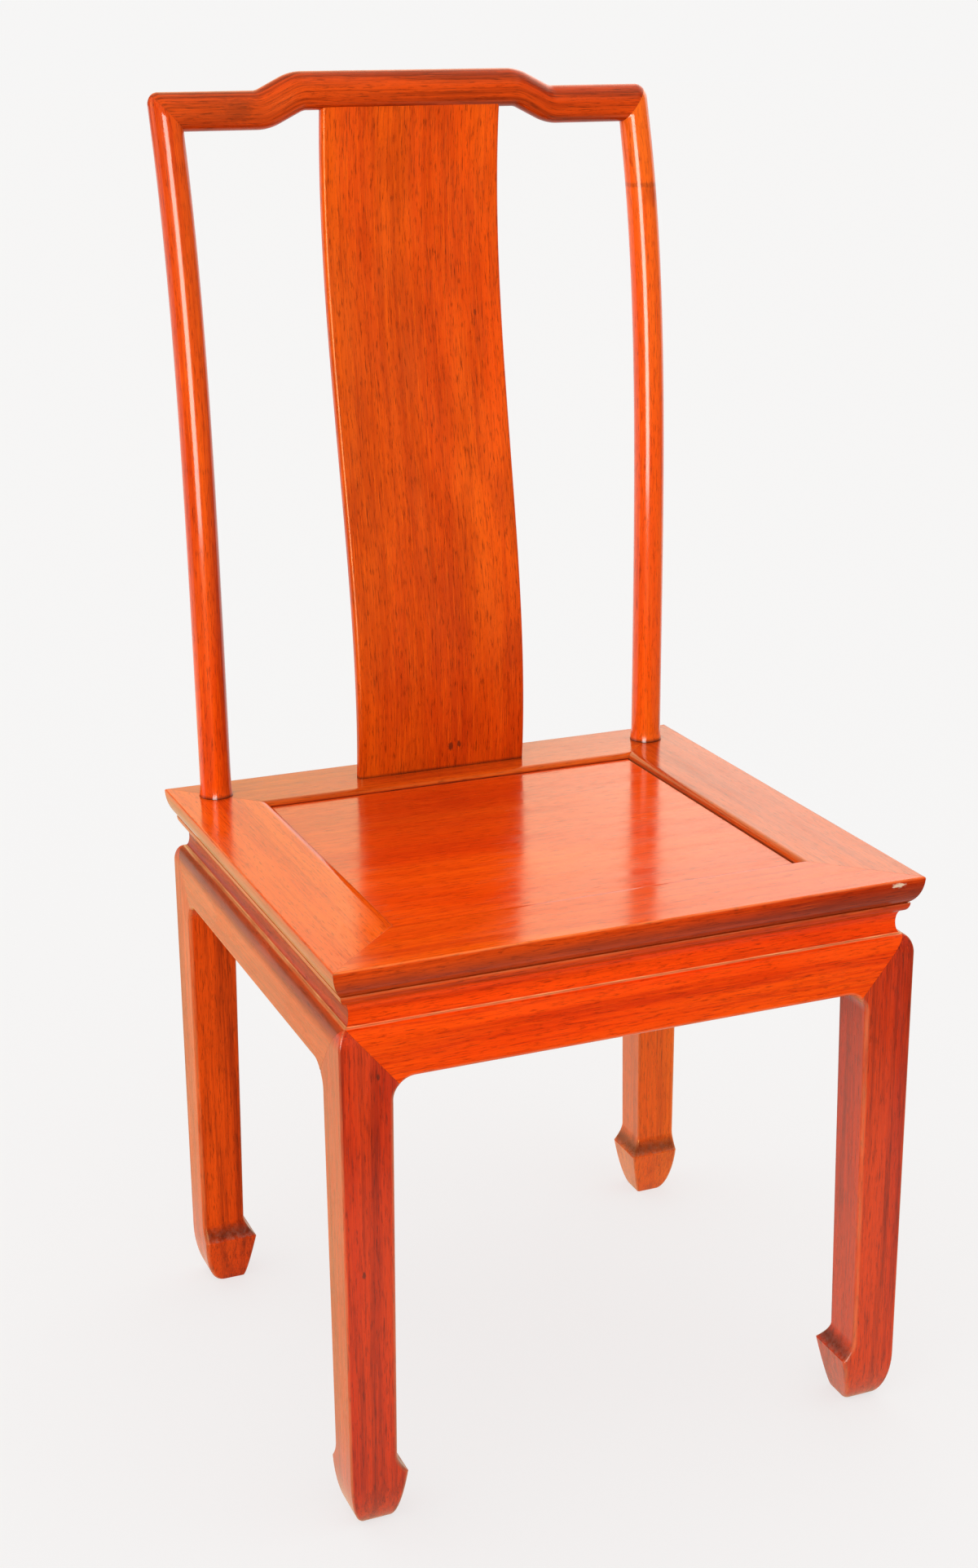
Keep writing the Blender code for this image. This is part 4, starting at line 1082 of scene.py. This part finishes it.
# Every finish with its light, middle and dark tone
# The moulded edges' tones, darker than the frame's top: painted shade
EDGE_SHADED_TONES = ((0.84, 0.078, 0.004), (0.66, 0.044, 0.003), (0.28, 0.012, 0.002))
MATERIALS = {
    "frame": rosewood(
        "frame_rosewood", (0.93, 0.115, 0.003), (0.84, 0.072, 0.002), (0.54, 0.030, 0.001),
        gloss=0.15, ior=1.72, figured=0.25,
    ),
    # A darker copy of the frame's wood for the right and back rails: painted shade
    "frame_dark": rosewood(
        "frame_dark_rosewood", (0.72, 0.095, 0.004), (0.60, 0.060, 0.003), (0.36, 0.024, 0.002),
        gloss=0.15, ior=1.72, figured=0.25,
    ),
    "edge": rosewood("edge_rosewood", *EDGE_SHADED_TONES, gloss=0.20, ior=1.28, sheen=0.1, spots=FRAME_SPOTS),
    # More sheen on the side edges than on the front: painted light
    "edge_side": rosewood("edge_side_rosewood", *EDGE_SHADED_TONES, gloss=0.20, ior=1.28, sheen=0.6),
    "panel": rosewood(
        "panel_rosewood", (0.93, 0.087, 0.002), (0.81, 0.049, 0.001), (0.51, 0.018, 0.001),
        gloss=0.16, ior=1.88, banded=0.35, streaked=0.3, hearts_and_shade=PANEL_SHADE,
    ),
    "waist": rosewood(
        "waist_rosewood", (1.0, 0.086, 0.002), (0.97, 0.049, 0.001), (0.52, 0.017, 0.001),
        gloss=0.24, ior=1.32, sheen=0.35,
    ),
    # A darker copy of the waist's wood for the sides: painted shade
    "waist_side": rosewood(
        "waist_side_rosewood", (0.60, 0.062, 0.004), (0.46, 0.036, 0.003), (0.22, 0.012, 0.002),
        gloss=0.24, ior=1.24,
    ),
    "apron": rosewood(
        "apron_rosewood", (1.0, 0.082, 0.001), (0.98, 0.045, 0.001), (0.58, 0.017, 0.001),
        gloss=0.24, ior=1.45, sheen=0.1,
    ),
    # A darker copy of the apron's wood for the sides, with more sheen: painted shade
    "apron_side": rosewood(
        "apron_side_rosewood", (0.86, 0.094, 0.003), (0.72, 0.055, 0.002), (0.38, 0.021, 0.001),
        gloss=0.24, ior=1.40, sheen=0.5,
    ),
    "leg": rosewood(
        "leg_rosewood", (0.76, 0.050, 0.002), (0.60, 0.024, 0.001), (0.20, 0.007, 0.001),
        gloss=0.24, ior=1.42, sheen=0.55, tint=CLEAR, figured=0.6, spots=LEG_SPOTS,
    ),
    # Lighter copies of the legs' wood for the back legs: painted light
    "leg_mid": rosewood(
        "leg_mid_rosewood", (0.86, 0.080, 0.003), (0.69, 0.044, 0.002), (0.24, 0.010, 0.001),
        gloss=0.24, ior=1.30, sheen=0.4, figured=0.6,
    ),
    "leg_light": rosewood(
        "leg_light_rosewood", (1.0, 0.150, 0.006), (1.0, 0.098, 0.003), (0.52, 0.027, 0.002),
        gloss=0.24, ior=1.7, sheen=1.0, streaked=0.6,
    ),
    "post": rosewood(
        "post_rosewood", (1.0, 0.130, 0.003), (0.94, 0.078, 0.001), (0.46, 0.020, 0.001),
        gloss=0.22, ior=1.28, coat=0.7, coat_gloss=0.13, sheen=0.15,
        figured=0.4, banded=0.45, streaked=0.35, hearts_and_shade=POST_HEARTS_AND_SHADE,
    ),
    # A lighter copy of the posts' wood for the right post: painted light
    "post_light": rosewood(
        "post_light_rosewood", (1.0, 0.160, 0.006), (1.0, 0.105, 0.003), (0.66, 0.036, 0.002),
        gloss=0.22, ior=1.28, coat=0.8, coat_gloss=0.13, sheen=0.15,
        figured=0.3, banded=0.3, streaked=0.3, hearts_and_shade=POST_HEARTS_AND_SHADE, spots=POST_SPOTS,
    ),
    "crest": rosewood(
        "crest_rosewood", (0.82, 0.074, 0.003), (0.60, 0.037, 0.001), (0.15, 0.008, 0.001),
        gloss=0.24, coat=0.1, figured=0.9, banded=0.8, hearts_and_shade=CREST_HEARTS, spots=CREST_SPOTS,
    ),
    "splat": rosewood(
        "splat_rosewood", (1.0, 0.124, 0.002), (0.92, 0.077, 0.001), (0.42, 0.024, 0.001),
        gloss=0.28, coat=0.1, figured=0.2, banded=0.35, streaked=0.35, flecked=0.8, clouded=0.35,
        hearts_and_shade=SPLAT_HEARTS_AND_SHADE, spots=SPLAT_SPOTS,
    ),
    "hidden": rosewood(
        "hidden_rosewood", (0.45, 0.110, 0.035), (0.38, 0.085, 0.028), (0.26, 0.050, 0.016),
        gloss=0.5, turned=True,
    ),
}


# Studio


def seen_rays(tree):
    """1 for rays from the camera and for those that a glossy or clear surface sends on, else 0."""
    ray = add_node(tree, "ShaderNodeLightPath", {}).outputs
    seen = arithmetic(tree, "MAXIMUM", ray["Is Camera Ray"], ray["Is Glossy Ray"])
    return arithmetic(tree, "MAXIMUM", seen, ray["Is Transmission Ray"])


def level_face(low, high, height):
    """Corners of a level sheet between two points."""
    corners = ((low[0], low[1]), (high[0], low[1]), (high[0], high[1]), (low[0], high[1]))
    return [(x, y, height) for x, y in corners]


def wall_face(start, end, foot, top):
    """Corners of an upright sheet between two points of the ground plan."""
    return [(*start, foot), (*end, foot), (*end, top), (*start, top)]


def sheets(name, faces):
    """One object made of flat sheets."""
    bm = bmesh.new()
    for face in faces:
        bm.faces.new([bm.verts.new(point) for point in face])
    return mesh_object(bm, name)


FLOOR_REACH = 40
FLOOR_WHITE = (0.925, 0.919, 0.914, 1)
FLOOR_BOUNCE = (0.66, 0.63, 0.60, 1)
SHADOW_SHARE = 0.25


def build_floor():
    """A pale floor with shadows softened towards white, which throws back less light than it shows."""
    corner = (FLOOR_REACH, FLOOR_REACH)
    floor = sheets("floor", [level_face((-FLOOR_REACH, -FLOOR_REACH), corner, 0.0)])
    material, tree = new_material("floor_pale")
    tree.nodes.remove(tree.nodes["Principled BSDF"])
    seen = seen_rays(tree)
    tone = mix(tree, seen, FLOOR_BOUNCE, FLOOR_WHITE)
    shaded = add_node(tree, "ShaderNodeBsdfDiffuse", {"Color": tone}).outputs[0]
    white = add_node(tree, "ShaderNodeEmission", {"Color": FLOOR_WHITE}).outputs[0]
    share = arithmetic(tree, "MULTIPLY", seen, 1 - SHADOW_SHARE)
    both = add_node(tree, "ShaderNodeMixShader", {0: share, 1: shaded, 2: white}).outputs[0]
    feed(tree, tree.nodes["Material Output"], {"Surface": both})
    floor.data.materials.append(material)


SHEET_LIFT = 0.002
SHEET_ROUGHNESS = 0.9
BLACK = (0, 0, 0, 1)


def varnish_only(name, faces, material):
    """Stands sheets in the studio that only the varnish sees."""
    sheet = sheets(name, faces)
    sheet.data.materials.append(material)
    sheet.visible_camera = False
    sheet.visible_diffuse = False
    sheet.visible_shadow = False
    return sheet


def sheet_material(name, colour, glow=BLACK, strength=0.0):
    """What a sheet that only the varnish sees is made of."""
    material, tree = new_material(name)
    inputs = {"Base Color": colour, "Roughness": SHEET_ROUGHNESS}
    inputs |= {"Emission Color": glow, "Emission Strength": strength}
    feed(tree, tree.nodes["Principled BSDF"], inputs)
    return material


def spare(light, names):
    """Keeps the light of a sheet or lamp off the named objects."""
    spared = bpy.data.collections.new(f"{light.name}_spares")
    for name in names:
        spared.objects.link(bpy.data.objects[name])
    for member in spared.collection_objects:
        member.light_linking.link_state = "EXCLUDE"
    light.light_linking.receiver_collection = spared


ROOM_NEAR = -0.75
ROOM_SIDE = 1.1
ROOM_BACK = 0.6
ROOM_REACH = 4.5
ROOM_HEIGHT = 7.0
ROOM_END = 6.0
ROOM_END_REACH = (-8.0, -0.6)
ROOM_END_FOOT = 1.0
ROOM_DARK = (0.10, 0.09, 0.08, 1)


def build_dark_room():
    """A dark floor and walls in front of the chair and beside it, and a wall far behind its left."""
    far = ROOM_REACH
    end_left, end_right = ROOM_END_REACH
    faces = [
        level_face((-far, -far), (far, ROOM_NEAR), SHEET_LIFT),
        wall_face((-far, -far), (far, -far), 0.0, ROOM_HEIGHT),
        wall_face((end_left, ROOM_END), (end_right, ROOM_END), ROOM_END_FOOT, ROOM_HEIGHT),
    ]
    for hand in (-1, 1):
        low, high = sorted((hand * ROOM_SIDE, hand * far))
        faces.append(level_face((low, ROOM_NEAR), (high, ROOM_BACK), SHEET_LIFT))
        faces.append(wall_face((hand * far, -far), (hand * far, ROOM_BACK), 0.0, ROOM_HEIGHT))
    varnish_only("dark_room", faces, sheet_material("room_dark", ROOM_DARK))


WARM_FLOOR_LOW = (-1.1, -0.3)
WARM_FLOOR_HIGH = (-0.27, 2.0)
WARM_FLOOR = (1.0, 0.80, 0.53, 1)


def build_warm_floor():
    """A warm patch of floor to the left of the chair, seen in the varnish of its left faces."""
    face = level_face(WARM_FLOOR_LOW, WARM_FLOOR_HIGH, SHEET_LIFT)
    varnish_only("warm_floor", [face], sheet_material("floor_warm", WARM_FLOOR))


BRIGHT_CARD_PLACE = (-0.93, -1.39)
BRIGHT_CARD_TURN = math.radians(30)
BRIGHT_CARD_WIDTH = 0.85
BRIGHT_CARD_FOOT = 0.42
BRIGHT_CARD_TOP = 2.2
BRIGHT_CARD_LEVEL = 14.0
BRIGHT_CARD_COLOUR = (0.80, 0.95, 1, 1)


def build_bright_card():
    """A tall bright card beside the camera: it draws a pale line down each post and spares the seat."""
    x, y = BRIGHT_CARD_PLACE
    run_x = BRIGHT_CARD_WIDTH / 2 * math.cos(BRIGHT_CARD_TURN)
    run_y = -BRIGHT_CARD_WIDTH / 2 * math.sin(BRIGHT_CARD_TURN)
    face = wall_face((x - run_x, y - run_y), (x + run_x, y + run_y), BRIGHT_CARD_FOOT, BRIGHT_CARD_TOP)
    material = sheet_material("card_bright", BLACK, BRIGHT_CARD_COLOUR, BRIGHT_CARD_LEVEL)
    card = varnish_only("bright_card", [face], material)
    spare(card, [f"seat_{side}_rail_moulded" for side in SIDES] + ["seat_panel_board"])


# Levels and tones of the wall, and how far up or right a view points while they come in
LIGHT_LEVEL = 1.0
HORIZON_LEVEL = 1.0
WALL_LEVEL = 1.45
WALL_CLIMB = (0.05, 0.3)
WALL_WARM = (0.97, 0.84, 0.50, 1)
WALL_PALE = (0.94, 0.87, 0.78, 1)
WARM_CLIMB = (0.1, 0.3)
RIGHT_GAIN = 0.8
RIGHT_TURN = (0.25, 0.5)
ZENITH_LEVEL = 0.35
ZENITH_CLIMB = (0.4, 0.8)


def build_world():
    """A pale wall where it shows, warm but for the right, dim overhead; even light elsewhere."""
    world = bpy.data.worlds.new("studio_white")
    world.use_nodes = True
    tree = world.node_tree
    direction = add_node(tree, "ShaderNodeTexCoord", {}).outputs["Generated"]
    direction_x, _, climb = add_node(tree, "ShaderNodeSeparateXYZ", {0: direction}).outputs
    seen = seen_rays(tree)
    right = between(tree, direction_x, *RIGHT_TURN)
    warm = arithmetic(tree, "MULTIPLY", seen, between(tree, climb, *WARM_CLIMB))
    colour = mix(tree, warm, FLOOR_WHITE, mix(tree, right, WALL_WARM, WALL_PALE))
    wall = between(tree, climb, *WALL_CLIMB, HORIZON_LEVEL, WALL_LEVEL)
    gain = arithmetic(tree, "MULTIPLY", right, between(tree, climb, *WALL_CLIMB, 0.0, RIGHT_GAIN))
    wall = arithmetic(tree, "ADD", wall, gain)
    shown = arithmetic(tree, "MULTIPLY", wall, between(tree, climb, *ZENITH_CLIMB, 1.0, ZENITH_LEVEL))
    inputs = {0: seen, 2: LIGHT_LEVEL / FLOOR_WHITE[1], 3: shown}
    strength = add_node(tree, "ShaderNodeMix", inputs, data_type="FLOAT").outputs[0]
    feed(tree, tree.nodes["Background"], {"Color": colour, "Strength": strength})
    bpy.context.scene.world = world


LAMP_PLACE = Vector((-2.8, -2.2, 2.0))
LAMP_AIM = Vector((0, 0, 0.6))
LAMP_SIZE = 1.6
LAMP_POWER = 50


def build_lamp():
    """A soft lamp at the front left, which leaves the floor alone and shows in no varnish."""
    lamp = bpy.data.lights.new("soft_front_light", "AREA")
    lamp.shape = "SQUARE"
    lamp.size = LAMP_SIZE
    lamp.energy = LAMP_POWER
    holder = bpy.data.objects.new("soft_front_light", lamp)
    holder.location = LAMP_PLACE
    holder.rotation_euler = (LAMP_AIM - LAMP_PLACE).to_track_quat("-Z", "Y").to_euler()
    holder.visible_glossy = False
    bpy.context.scene.collection.objects.link(holder)
    spare(holder, ["floor"])


# Camera, as the photograph was taken
CAMERA_PLACE = Vector((-0.7050, -1.6352, 1.0835))
CAMERA_YAW = math.radians(22.431)
CAMERA_PITCH = math.radians(18.151)
CAMERA_ROLL = math.radians(-0.415)
CAMERA_LENS = 53.25
CAMERA_SENSOR = 36.0
CAMERA_SIGHT = 200


def build_camera():
    forward = Vector(
        (
            math.sin(CAMERA_YAW) * math.cos(CAMERA_PITCH),
            math.cos(CAMERA_YAW) * math.cos(CAMERA_PITCH),
            -math.sin(CAMERA_PITCH),
        )
    )
    level = Vector((math.cos(CAMERA_YAW), -math.sin(CAMERA_YAW), 0))
    rise = level.cross(forward)
    right = math.cos(CAMERA_ROLL) * level + math.sin(CAMERA_ROLL) * rise
    up = math.cos(CAMERA_ROLL) * rise - math.sin(CAMERA_ROLL) * level
    turn = Matrix((right, up, -forward)).transposed().to_4x4()
    camera = bpy.data.cameras.new("photo_camera")
    camera.sensor_fit = "AUTO"
    camera.sensor_width = CAMERA_SENSOR
    camera.lens = CAMERA_LENS
    camera.clip_end = CAMERA_SIGHT
    holder = bpy.data.objects.new("photo_camera", camera)
    holder.matrix_world = Matrix.Translation(CAMERA_PLACE + Vector((0, MIDDLE_Y, 0))) @ turn
    bpy.context.scene.collection.objects.link(holder)
    bpy.context.scene.camera = holder


def dress_battens():
    """Gives the battens, which keep their CAD meshes, unvarnished wood."""
    for name in ("batten_left", "batten_right"):
        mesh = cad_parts[name].data
        mesh.materials.clear()
        mesh.materials.append(MATERIALS["hidden"])


build_frame()
build_panel()
build_waists()
build_aprons()
build_legs()
build_posts()
build_crest()
build_splat()
dress_battens()
build_floor()
build_dark_room()
build_warm_floor()
build_bright_card()
build_world()
build_lamp()
build_camera()
bpy.context.scene.view_settings.view_transform = "Standard"
